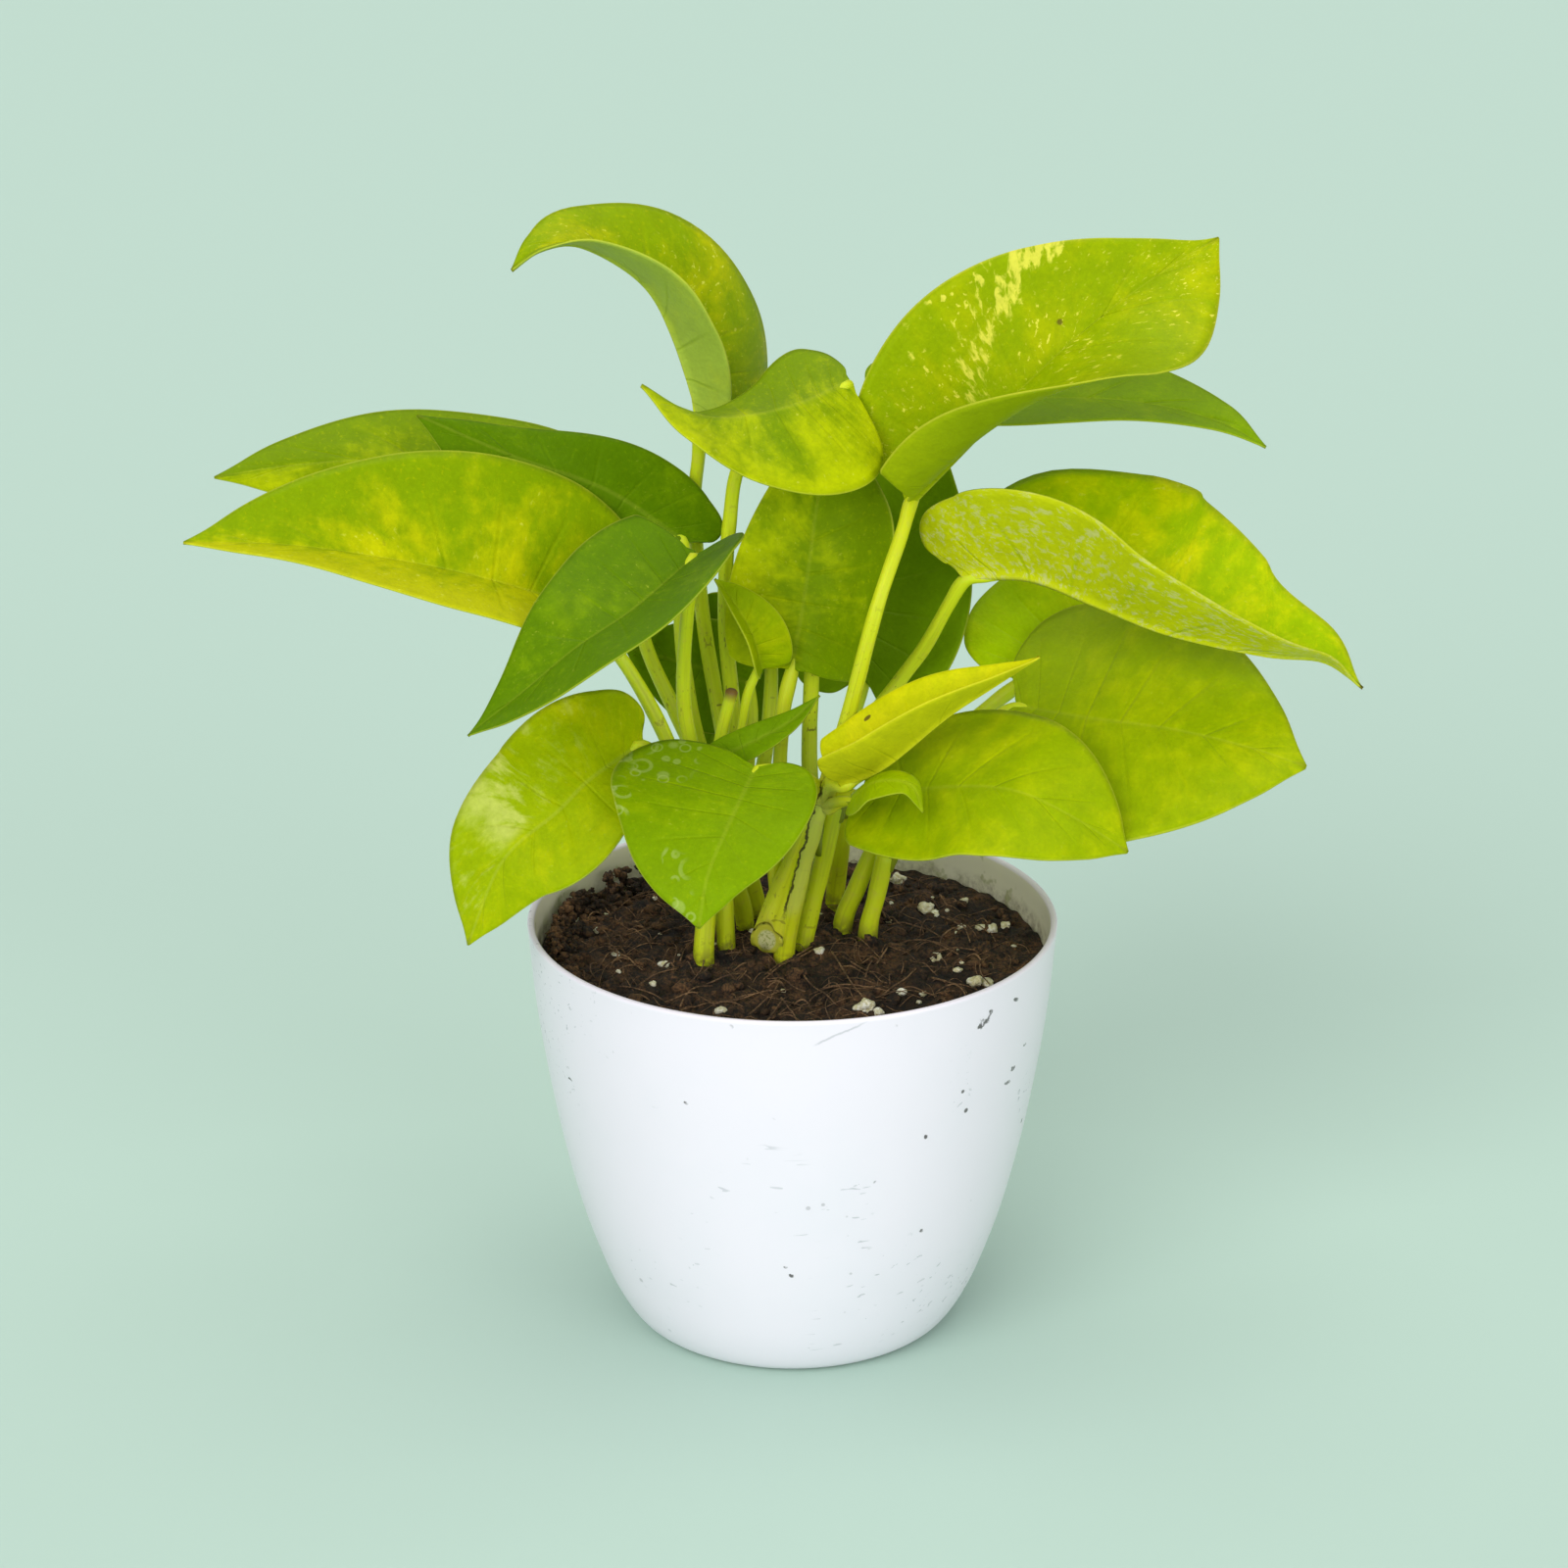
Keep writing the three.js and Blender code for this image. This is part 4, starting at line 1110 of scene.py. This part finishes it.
@dataclass
class Cutting:
    """One rooted cutting: a trunk and the stalks that it carries, in place of one solid.

    The trunk stands upright in the mix at its foot and follows rise above it. stalks gives each
    leaf's stalk, which runs on to the leaf's base and fades into its keel.
    """

    name: str
    foot: Pair
    rise: list[Point]
    stalks: dict[str, list[Point]]
    cut_end: list[Point] = field(default_factory=list)
    cut_stalk: list[Point] = field(default_factory=list)
    finish: StalkFinish = StalkFinish()

    def stalk(self, leaf: Leaf, points: list[Point], seed: int) -> Surface:
        """One stalk: round, a little swollen under the blade, and thinning along its keel.

        Args:
            leaf: the leaf that it carries.
            points: places from the cutting to near the leaf's base.
            seed: picks its swelling.

        Returns:
            A closed tube.
        """
        radii = THIN_RADII if leaf.name in THIN_STALKS else STALK_RADII
        under, drop = np.array(KEEL_SHARES), np.array(KEEL_DROPS)[:, None]
        path = [*points, *map(tuple, leaf.spine.at(under) - leaf.normal_at(under) * drop)]
        length, rings = Spine(path).length, max(FEWEST_RINGS, ring_count(path))
        share = np.linspace(0, 1, rings)
        left = (1 - share) * length
        radius = np.interp(share, [0, 1], radii) * (1 + 0.16 * np.exp(-(((left - 11) / 4) ** 2)))
        radius = radius * (0.3 + 0.7 * smooth_step(0, 0.14 * leaf.spine.length, left))
        return tube(path, radius, rings, wobble=0.06, groove=0.22, seed=seed)

    def surface(self, leaves: dict[str, Leaf], seed: int) -> Surface:
        """The trunk and all its stalks as one mesh.

        Args:
            leaves: every leaf by name.
            seed: picks their swelling.

        Returns:
            The joined surface.
        """
        trunk = [(*self.foot, ROOT_END), (*self.foot, MIX_LEVEL), *self.rise]
        parts = [tube(trunk, TRUNK_RADII, ring_count(trunk), wobble=0.1, groove=0.12, seed=seed)]
        parts += [self.stalk(leaves[name], path, seed) for name, path in self.stalks.items()]
        if self.cut_end:
            rings = ring_count(self.cut_end, CUT_RING_STEP)
            parts.append(self.sliced(tube(self.cut_end, CUT_END_RADII, rings, 32, 0.08, 0.3, seed)))
        if self.cut_stalk:
            rings = ring_count(self.cut_stalk)
            stub = tube(self.cut_stalk, CUT_STALK_RADII, rings, wobble=0.06, seed=seed)
            stub.values["dried"] = smooth_step(0.94, 1.0, stub.values["along"])
            parts.append(stub)
        return joined(parts)

    def sliced(self, cane: Surface) -> Surface:
        """Cuts the cane's foot off slantwise.

        Each vertex beyond the cut's plane is drawn back along the cane until it lies on the
        plane. The pole becomes the middle of the cut face.

        Args:
            cane: the whole tube.

        Returns:
            The tube with the slanting cut.
        """
        axis = Spine(self.cut_end).along(np.zeros(1))[0]
        normal = unit(np.array(CUT_FACING))
        beyond = (cane.vertices - np.array(self.cut_end[0]) - axis * CUT_BACK) @ normal
        near = (cane.values["along"] < 0.4) & (beyond > 0)
        moved = cane.vertices - axis * (beyond / (axis @ normal))[:, None]
        cane.vertices = np.where(near[:, None], moved, cane.vertices)
        cane.values["cut"] = np.where(near, 0.5, 0.0)
        cane.values["cut"][-2] = 1.0
        return cane

    def build(self, leaves: dict[str, Leaf], seed: int) -> None:
        """Makes the cutting in place of its solid and dresses it.

        Args:
            leaves: every leaf by name.
            seed: picks its swelling and moves its pattern.
        """
        material = self.finish.material(f"{self.name}_finish", seed * 0.53)
        surface = self.surface(leaves, seed)
        make_piece(f"{self.name}_stalks", surface, material, "stem_green", self.name)


CUTTING_SEED = 41
CUTTINGS = [
    Cutting("stem_left_front", (-20, -8), [(-19.5, -6, 101), (-20.5, -5, 114)], {
        "leaf_left_large": [(-20.5, -5.5, 108), (-24, -4, 126), (-28, -2, 140), (-35, -1, 154),
                            (-41, 0, 163)],
        "leaf_low_left": [(-20.5, -6, 108), (-22, -9, 122), (-26, -14, 136)],
        "leaf_narrow": [(-20, -7, 106), (-20, -10, 122), (-19, -13, 134)],
    }),
    Cutting("stem_left_middle", (-15, -1), [(-15.6, 0, 103), (-17, 0.5, 114)], {
        "leaf_left_front": [(-17, 0, 110), (-20, -1, 128), (-24, -3, 148), (-23, -8, 172)],
        "leaf_small_hooded": [(-16.5, -1, 110), (-14, -4, 126), (-11.7, -5, 141),
                              (-10, -6.5, 152)],
    }, cut_stalk=[(-16, -2, 110), (-16.5, -5, 128), (-16, -6, 141), (-13.4, -6.5, 153)]),
    Cutting("stem_left_back", (-10.7, 10), [(-13, 6.5, 103), (-15, 6, 114)], {
        "leaf_left_upper": [(-15, 6, 110), (-19, 6, 128), (-23, 7, 145), (-25, 10, 164)],
        "leaf_left_back": [(-15, 6.5, 108), (-21, 7, 130), (-26, 9, 142), (-33, 14, 157),
                           (-37, 23, 174)],
    }),
    Cutting("stem_middle_back", (-7.8, 18), [(-11, 12, 106), (-12, 11, 116)], {
        "leaf_tall_left": [(-11.5, 11, 110), (-15, 12, 132), (-20, 20, 160), (-22, 29, 184),
                           (-21, 29, 197)],
        "leaf_top_middle": [(-12, 11, 112), (-13, 11, 138), (-15, 10, 164), (-14, 10, 186),
                            (-11, 8, 202), (0, 4, 213), (8, 1, 218)],
        "leaf_inner_left": [(-11.5, 12, 110), (-10.5, 14, 124), (-9.5, 18.5, 137)],
        "leaf_inner_hanging": [(-10.5, 13, 110), (-6, 19, 130), (-5, 27, 152)],
    }),
    Cutting("old_cane", (-2, -8), [(2, -10.5, 112), (7.4, -13, 134)], {
        "leaf_top_right": [(7, -13, 131), (8.5, -15, 138), (12, -20, 152), (18, -21, 177),
                           (23.5, -12, 191)],
        "leaf_middle_upright": [(-2, -8, 92), (-4, -6, 115), (-3, -5.5, 131), (-2, -5, 148)],
        "leaf_low_middle": [(6.5, -13, 130), (3, -19, 137), (-3, -25, 141)],
        "leaf_young_furled": [(7.4, -14, 131), (8.6, -19, 136)],
        "leaf_small_curled": [(7.5, -14, 129), (10, -21, 132.5)],
        "leaf_low_right": [(7.5, -13, 128), (11, -14.5, 131)],
    }, cut_end=[(-6.6, -10.5, 92.8), (-5, -9, 97), (-1.5, -9, 108), (3, -11, 121),
                (7, -13, 132.5)],
        finish=StalkFinish((0.64, 0.64, 0.03), (0.64, 0.7, 0.01), flecks=0.5, slit=0.9)),
    Cutting("stem_middle", (2.5, -1), [(6, 0, 106), (9.5, 0.5, 123)], {
        "leaf_right_folded": [(9.5, 0.5, 120), (15.6, 2, 139.7), (24, 4, 152), (29.5, 4, 160),
                              (34.5, 3, 170)],
        "leaf_back_right": [(7, 0, 112), (4, 0.5, 129), (4, 1, 147), (5.5, 3, 165),
                            (12, 12, 188), (19, 18, 204)],
    }),
    Cutting("stem_back", (10, 26), [(11, 20, 105), (11.5, 14, 119)],
            {"leaf_middle_back": [(11.5, 14, 116), (12, 13, 130), (14, 13.5, 141)]}),
    Cutting("stem_right_back", (11.4, 10), [(15, 10, 100), (19, 10.5, 110)],
            {"leaf_right_back": [(19, 10.5, 107), (27, 12, 122), (38, 14.5, 136)]}),
    Cutting("stem_right_front", (17.1, 5), [(19, 5.5, 99), (21, 6, 109)],
            {"leaf_right_large": [(21, 6, 106), (27, 6, 120), (37, 5.5, 135), (45, 5, 142)]}),
]


# Pot and potting mix

POT_HEIGHT, POT_RIM_RADIUS = 97.0, 60.0
POT_WALL, POT_FLOOR = 1.6, 2.4
INNER_FOOT = 8.0
LIP_START = POT_HEIGHT - 0.9
POT_PROFILE = np.array([(35, 0), (37.6, 2), (40.8, 7), (44.3, 15), (49.2, 30), (53.8, 50),
                        (57.9, 75), (60, 97)])


def pot_radius(height: Array | float) -> Array:
    """Outer radius of the pot at a height, from the smooth curve through its profile."""
    rows = curve_points(POT_PROFILE, np.linspace(0, 1, 200))
    return np.interp(height, rows[:, 1], rows[:, 0])


def polar(radius: Array | float, angle: Array) -> Array:
    """Places (x, y) at the given distances from the upright axis and angles round it."""
    return np.stack([radius * np.cos(angle), radius * np.sin(angle)], axis=-1)


def turned(radius: Array, height: Array, angle: Array) -> Array:
    """Rings of vertices round the upright axis, one for each radius and height."""
    level = np.broadcast_to(height[:, None], (len(height), len(angle)))
    return np.dstack([polar(radius[:, None], angle), level])


@dataclass
class Pot:
    """Tapered plastic pot with a thin rounded lip, in place of the turned solid."""

    sides: int = 192
    finish: PotFinish = PotFinish()

    def profile(self) -> tuple[Array, Array]:
        """Radius and height from the underside's middle, over the lip, to the inside's middle.

        The lip is a half circle as wide as the wall.

        Returns:
            The profile rows, and 1 for each row on the inside and 0 outside.
        """
        foot = np.stack([np.linspace(4, POT_PROFILE[0][0] - 0.6, 6), np.zeros(6)], axis=1)
        heights = np.concatenate([np.linspace(0.25, 15, 22), np.linspace(17, LIP_START, 40)])
        outer = np.stack([pot_radius(heights), heights], axis=1)
        turn, lip = np.linspace(0, np.pi, 11)[1:-1], POT_WALL / 2
        lip = np.stack([POT_RIM_RADIUS - lip + lip * np.cos(turn),
                        POT_HEIGHT - lip * (1 - np.sin(turn))], axis=1)
        heights = np.linspace(LIP_START, INNER_FOOT, 40)
        inner = np.stack([pot_radius(heights) - POT_WALL, heights], axis=1)
        low = float(pot_radius(INNER_FOOT)) - POT_WALL
        flat = [[radius, POT_FLOOR] for radius in (low - 3, low / 2, 4)]
        floor = np.array([[low - 1, INNER_FOOT - 3], *flat])
        outside, inside = [foot, outer, lip], [inner, floor]
        count = sum(map(len, outside))
        profile = np.concatenate([*outside, *inside])
        return profile, (np.arange(len(profile)) >= count).astype(float)

    def build(self) -> None:
        """Makes the pot in place of its solid and dresses it."""
        profile, inside = self.profile()
        rings = turned(profile[:, 0], profile[:, 1], circle(self.sides))
        surface = ringed(rings, *(np.array([0, 0, profile[end, 1]]) for end in (0, -1)))
        surface.values["inside"] = np.concatenate([np.repeat(inside, self.sides), [0, 1]])
        make_piece("pot_shell", surface, self.finish.material("pot_plastic"), "pot_white", "pot")


DARK_MIX = MixFinish(tone(0x171008), tone(0x6A4A2E), 0.75)
CRUMB_MIX = MixFinish(tone(0x1D140B), tone(0x7E5A38), 0.65)
FIBRE_MIX = MixFinish(tone(0x4A3523), tone(0xA47E58), 0.3, 0.85)
PERLITE = MixFinish(tone(0xD2C796), tone(0xFFFDF0), 0.0, 0.9)
MIX_SLOT = "potting_mix"
BED_SIDES, BED_RINGS = 340, 105
CRUMBS, HEAPED, FIBRES, SMALL_GRAINS = 900, 560, 330, 46
CRUMB_SEED, FIBRE_SEED, GRAIN_SEED = 81, 82, 83
HEAP_START, HEAP_SPAN, HEAP_REACH, HEAP_HEIGHT = 105, 140, 54.9, 5.6
RELIEF_SIZES = ((5.5, 71), (2.2, 72), (0.9, 73))
WALL_REACH = 54.5
GRAINS = (
    (-38, 38, 2.4), (-49, 18, 1.8), (-44, 23, 1.6), (-45, 13, 1.3), (-40, -2, 1.4),
    (-29, -7, 1.6), (-39, -14, 0.9), (-31, -21, 1.2), (-17, 1, 1.2), (25, 42, 2.6),
    (31, 23, 2.8), (33, 21, 1.8), (40, 28, 1.7), (39, 12, 1.5), (43, 12, 1.7), (46, 12.5, 2),
    (49, 12.5, 1.6), (32, -4, 2.2), (38, -9, 1.1), (37, -13, 1.3), (41, -18, 2.6),
    (43.5, -17, 2), (29, -24, 1.2), (28, -27, 1), (24, -26, 1.9), (16, -35, 2.9),
    (19, -36, 1.8), (-16, -36, 1.8), (-2, -24, 0.8), (-32, 30, 1), (6, -6.5, 1.6),
)
STRANDS = (
    (5, -4.3, -6.5, -19.9), (8.9, -4.9, 18.5, -37.7), (-16.8, -32.3, -1.7, -25.3),
    (-9.6, -37.7, -0.2, -23.7), (-2.5, -29.7, 1.5, -41.4), (-14.3, -39.3, -3.2, -42.4),
    (1.6, -15.5, 9.5, -31.8), (-28, -30.7, -21, -27.5), (5.7, -0.9, -6.5, -17.7),
    (11.3, -8.2, 21, -22.1), (19.8, -27.5, 27.7, -13.8), (-41.9, 0.2, -33.7, -13.8),
    (-34.6, -22.1, -26, -13.8), (34.3, 17.6, 40.5, 3.1),
)


@dataclass
class PottingMix:
    """Brown fibrous mix with crumbs, root fibres and pale perlite grains on its top.

    grains are the places (x, y) and sizes of the larger grains, and strands the two ends of each
    longer fibre.
    """

    top: float = MIX_LEVEL
    mound: float = 1.6
    mound_width: float = 24.0
    wave: float = 0.45
    gap: float = 0.3
    grains: tuple[Point, ...] = GRAINS
    strands: tuple[tuple[float, float, float, float], ...] = STRANDS

    def height(self, place: Array) -> Array:
        """Height of the mix: a low bell-shaped mound round the stems, with crossed sine waves.

        Args:
            place: rows of x and y.

        Returns:
            One height for each row.
        """
        x, y = place[..., 0], place[..., 1]
        mound = self.mound * np.exp(-(x**2 + y**2) / (2 * self.mound_width**2))
        wave = np.sin(0.41 * x + 1.3) * np.cos(0.37 * y) + 0.6 * np.sin(0.83 * x - 0.71 * y)
        return self.top - self.mound + mound + self.wave * wave

    def crumbly(self, place: Array) -> Array:
        """Crumbly relief: noise of three sizes, the middle one without its sign.

        Args:
            place: rows of x and y.

        Returns:
            One height for each row, to be added.
        """
        flat = np.concatenate([place[..., :2], np.zeros((*place.shape[:-1], 1))], axis=-1)
        coarse, middle, fine = (value_noise(flat, size, seed) for size, seed in RELIEF_SIZES)
        return coarse + 0.85 * np.abs(middle) + 0.4 * fine

    def bed(self) -> None:
        """The body of the mix, from its crumbly top down to the pot's floor."""
        angle = circle(BED_SIDES)
        rim = float(pot_radius(self.top - 1)) - POT_WALL - self.gap
        radius = np.linspace(0.6, rim, BED_RINGS)
        upper = turned(radius, radius, angle)
        fade = smooth_step(rim, rim - 1.5, radius[:, None])
        upper[..., 2] = self.height(upper) + self.crumbly(upper) * fade
        heights = np.array([75, 50, 30, INNER_FOOT + 1, POT_FLOOR + self.gap])
        wall = pot_radius(heights) - POT_WALL - self.gap - np.array([0, 0, 0, 1, 4])
        rings = np.concatenate([upper, turned(wall, heights, angle)])
        poles = (np.array([0, 0, z]) for z in (upper[0, :, 2].mean(), heights[-1]))
        surface = ringed(rings, *poles)
        make_piece("soil_bed", surface, DARK_MIX.material("mix_bed"), MIX_SLOT, "soil")

    def lump(self, centre: Array, size: float, rough: float, seed: int, rows: int,
             sides: int) -> Surface:
        """One rounded, uneven grain: a sphere whose radius varies with smooth noise.

        Args:
            centre: its middle.
            size: its mean radius.
            rough: how uneven it is, as a share of the radius.
            seed: picks its shape.
            rows: rings between its poles.
            sides: vertices in a ring.

        Returns:
            A closed surface.
        """
        polar = np.linspace(0, np.pi, rows + 2)
        ball = turned(np.sin(polar), np.cos(polar), circle(sides))
        large, small = value_noise(ball + seed, 0.8, seed), value_noise(ball + seed, 0.3, seed + 1)
        radius = size * (1 + rough * (large + 0.45 * small))
        rounded = centre + ball * radius[..., None] * np.array([1, 0.85, 0.72])
        return ringed(rounded[1:-1], rounded[0, 0], rounded[-1, 0])

    def scatter(self, rng: np.random.Generator, count: int, reach: float) -> Array:
        """Random (x, y) places spread evenly over the top of the mix, out to a radius."""
        radius = reach * np.sqrt(rng.random(count))
        return polar(radius, rng.random(count) * 2 * np.pi)

    def crumbs(self) -> None:
        """Dark clods of many sizes lying on the mix, heaped up against the wall at the left."""
        rng = np.random.default_rng(CRUMB_SEED)
        places = self.scatter(rng, CRUMBS, WALL_REACH)
        sizes = 0.45 + 1.5 * rng.random(CRUMBS) ** 3
        level = self.height(places) + self.crumbly(places)
        angle = np.radians(HEAP_START + HEAP_SPAN * rng.random(HEAPED))
        radius = HEAP_REACH - 6 * rng.random(HEAPED) ** 1.6
        heap = polar(radius, angle)
        rise = HEAP_HEIGHT * smooth_step(48, 55, radius) * rng.random(HEAPED) ** 0.5
        places = np.concatenate([places, heap])
        sizes = np.concatenate([sizes, 0.5 + 0.7 * rng.random(HEAPED)])
        level = np.concatenate([level, self.height(heap) + rise]) + 0.1 * sizes
        lumps = [
            self.lump(centre, size, 0.7, 100 + number, 4, 9)
            for number, (centre, size) in enumerate(zip(np.column_stack([places, level]), sizes))
        ]
        make_piece("soil_crumbs", joined(lumps), CRUMB_MIX.material("mix_crumbs"), MIX_SLOT)

    def fibre(self, place: Array, level: Array, thick: Pair, rings: int) -> Surface:
        """One fibre through (x, y) places at the given levels."""
        points = [tuple(p) for p in np.column_stack([place, level])]
        return tube(points, thick, rings, sides=5)

    def fibres(self) -> None:
        """Thin root and husk fibres that lie and loop over the mix, and a few longer strands."""
        rng = np.random.default_rng(FIBRE_SEED)
        strands = []
        for start in self.scatter(rng, FIBRES, 50):
            length = 4 + 14 * rng.random() ** 2
            heading = rng.random() * 2 * np.pi
            bend = (rng.random() - 0.5) * 2.4
            share = np.linspace(0, 1, 5)
            turn = heading + bend * share
            place = start + np.cumsum(polar(1, turn) * length / 4, axis=0)
            place = place * np.minimum(1, WALL_REACH / np.linalg.norm(place, axis=1, keepdims=True))
            loop = (0.4 + 1.4 * rng.random()) * np.sin(np.pi * share)
            thick = 0.1 + 0.16 * rng.random() ** 2
            level = self.height(place) + 0.75 + loop
            strands.append(self.fibre(place, level, (thick, 0.6 * thick), 11))
        for ends in self.strands:
            share = np.linspace(0, 1, 6)[:, None]
            place = np.array(ends[:2]) * (1 - share) + np.array(ends[2:]) * share
            place = place + np.sin(np.pi * share) * (rng.random(2) - 0.5) * 2.5
            level = self.height(place) + 1.3 + 0.9 * rng.random() * np.sin(np.pi * share[:, 0])
            strands.append(self.fibre(place, level, (0.24, 0.15), 15))
        make_piece("soil_fibres", joined(strands), FIBRE_MIX.material("mix_fibres"), MIX_SLOT)

    def perlite(self) -> None:
        """Pale grains pressed into the top of the mix."""
        rng = np.random.default_rng(GRAIN_SEED)
        extra = self.scatter(rng, SMALL_GRAINS, 52)
        rows = [*self.grains, *[(x, y, 0.5 + 0.9 * rng.random() ** 2) for x, y in extra if y > -5]]
        lumps = []
        for number, (x, y, size) in enumerate(rows):
            place = np.array([x, y])
            level = float(self.height(place) + self.crumbly(place)) + 0.3 * size
            lumps.append(self.lump(np.array([x, y, level]), 0.66 * size, 0.5, 300 + number, 13, 24))
        make_piece("soil_perlite", joined(lumps), PERLITE.material("mix_perlite"), MIX_SLOT)

    def build(self) -> None:
        """Makes the mix and everything that lies on it."""
        for part in (self.bed, self.crumbs, self.fibres, self.perlite):
            part()


# Stage

LAMPS = {
    "key": ((-0.85, -1.7, 1.13), 42, 1.62),
    "fill": ((1.1, -1.6, 0.58), 40, 0.9),
    "top": ((0.1, 0.2, 1.58), 45, 1.0),
}


@dataclass
class Stage:
    """Plain pale floor, soft studio light and the camera at the photograph's angle."""

    elevation: float = 20.9
    distance: float = 975.0
    target: Point = (-1.9, 0, 128.7)
    lens: float = 100.0
    sensor: float = 36.0
    floor_size: float = 80.0
    floor_tone: Colour = tone(0xBFD8CB)
    sky_tone: Colour = tone(0xF2F6F4)
    sky_strength: float = 0.44

    def camera(self) -> None:
        """Places the camera and makes it the scene's own."""
        data = bpy.data.cameras.new("view")
        data.lens, data.sensor_width, data.clip_end = self.lens, self.sensor, 100
        eye = bpy.data.objects.new("view", data)
        bpy.context.collection.objects.link(eye)
        tilt = math.radians(self.elevation)
        away = Vector((0, -math.cos(tilt), math.sin(tilt))) * self.distance
        eye.location = (Vector(self.target) + away) * MM
        eye.rotation_euler = (math.pi / 2 - tilt, 0, 0)
        bpy.context.scene.camera = eye

    def floor(self) -> None:
        """Lays the floor."""
        bpy.ops.mesh.primitive_plane_add(size=self.floor_size, location=(0, 0, -0.0004))
        plane = bpy.context.active_object
        plane.name = "floor"
        kit = NodeKit("floor_paper")
        plane.data.materials.append(kit.surface(self.floor_tone, 0.85, Specular_IOR_Level=0.15))

    def lamp(self, name: str, place: Point, softness: float, power: float) -> None:
        """A distant soft light that shines on the plant.

        Args:
            name: name of the light.
            place: the direction that it comes from.
            softness: how wide it looks, in degrees.
            power: its strength in watts per square metre.
        """
        data = bpy.data.lights.new(name, "SUN")
        data.angle, data.energy = math.radians(softness), power
        lamp = bpy.data.objects.new(name, data)
        bpy.context.collection.objects.link(lamp)
        lamp.location = place
        lamp.rotation_euler = (-Vector(place)).to_track_quat("-Z", "Y").to_euler()

    def build(self) -> None:
        """Sets the stage."""
        self.camera()
        self.floor()
        world = bpy.data.worlds.new("studio")
        world.use_nodes = True
        background = world.node_tree.nodes["Background"]
        background.inputs["Color"].default_value = (*self.sky_tone, 1)
        background.inputs["Strength"].default_value = self.sky_strength
        bpy.context.scene.world = world
        for name, lamp in LAMPS.items():
            self.lamp(name, *lamp)
        bpy.context.scene.view_settings.view_transform = "Standard"


def main() -> None:
    """Builds the stage, the pot, the mix, the leaves and the cuttings, and reports each piece."""
    logging.basicConfig(level=logging.INFO, format="%(message)s")
    for part in (Stage(), Pot(), PottingMix()):
        part.build()
    for seed, leaf in enumerate(LEAVES, LEAF_SEED):
        leaf.build(seed)
    leaves = {leaf.name: leaf for leaf in LEAVES}
    for seed, cutting in enumerate(CUTTINGS, CUTTING_SEED):
        cutting.build(leaves, seed)
    bpy.context.view_layer.update()


if __name__ == "__main__":
    main()
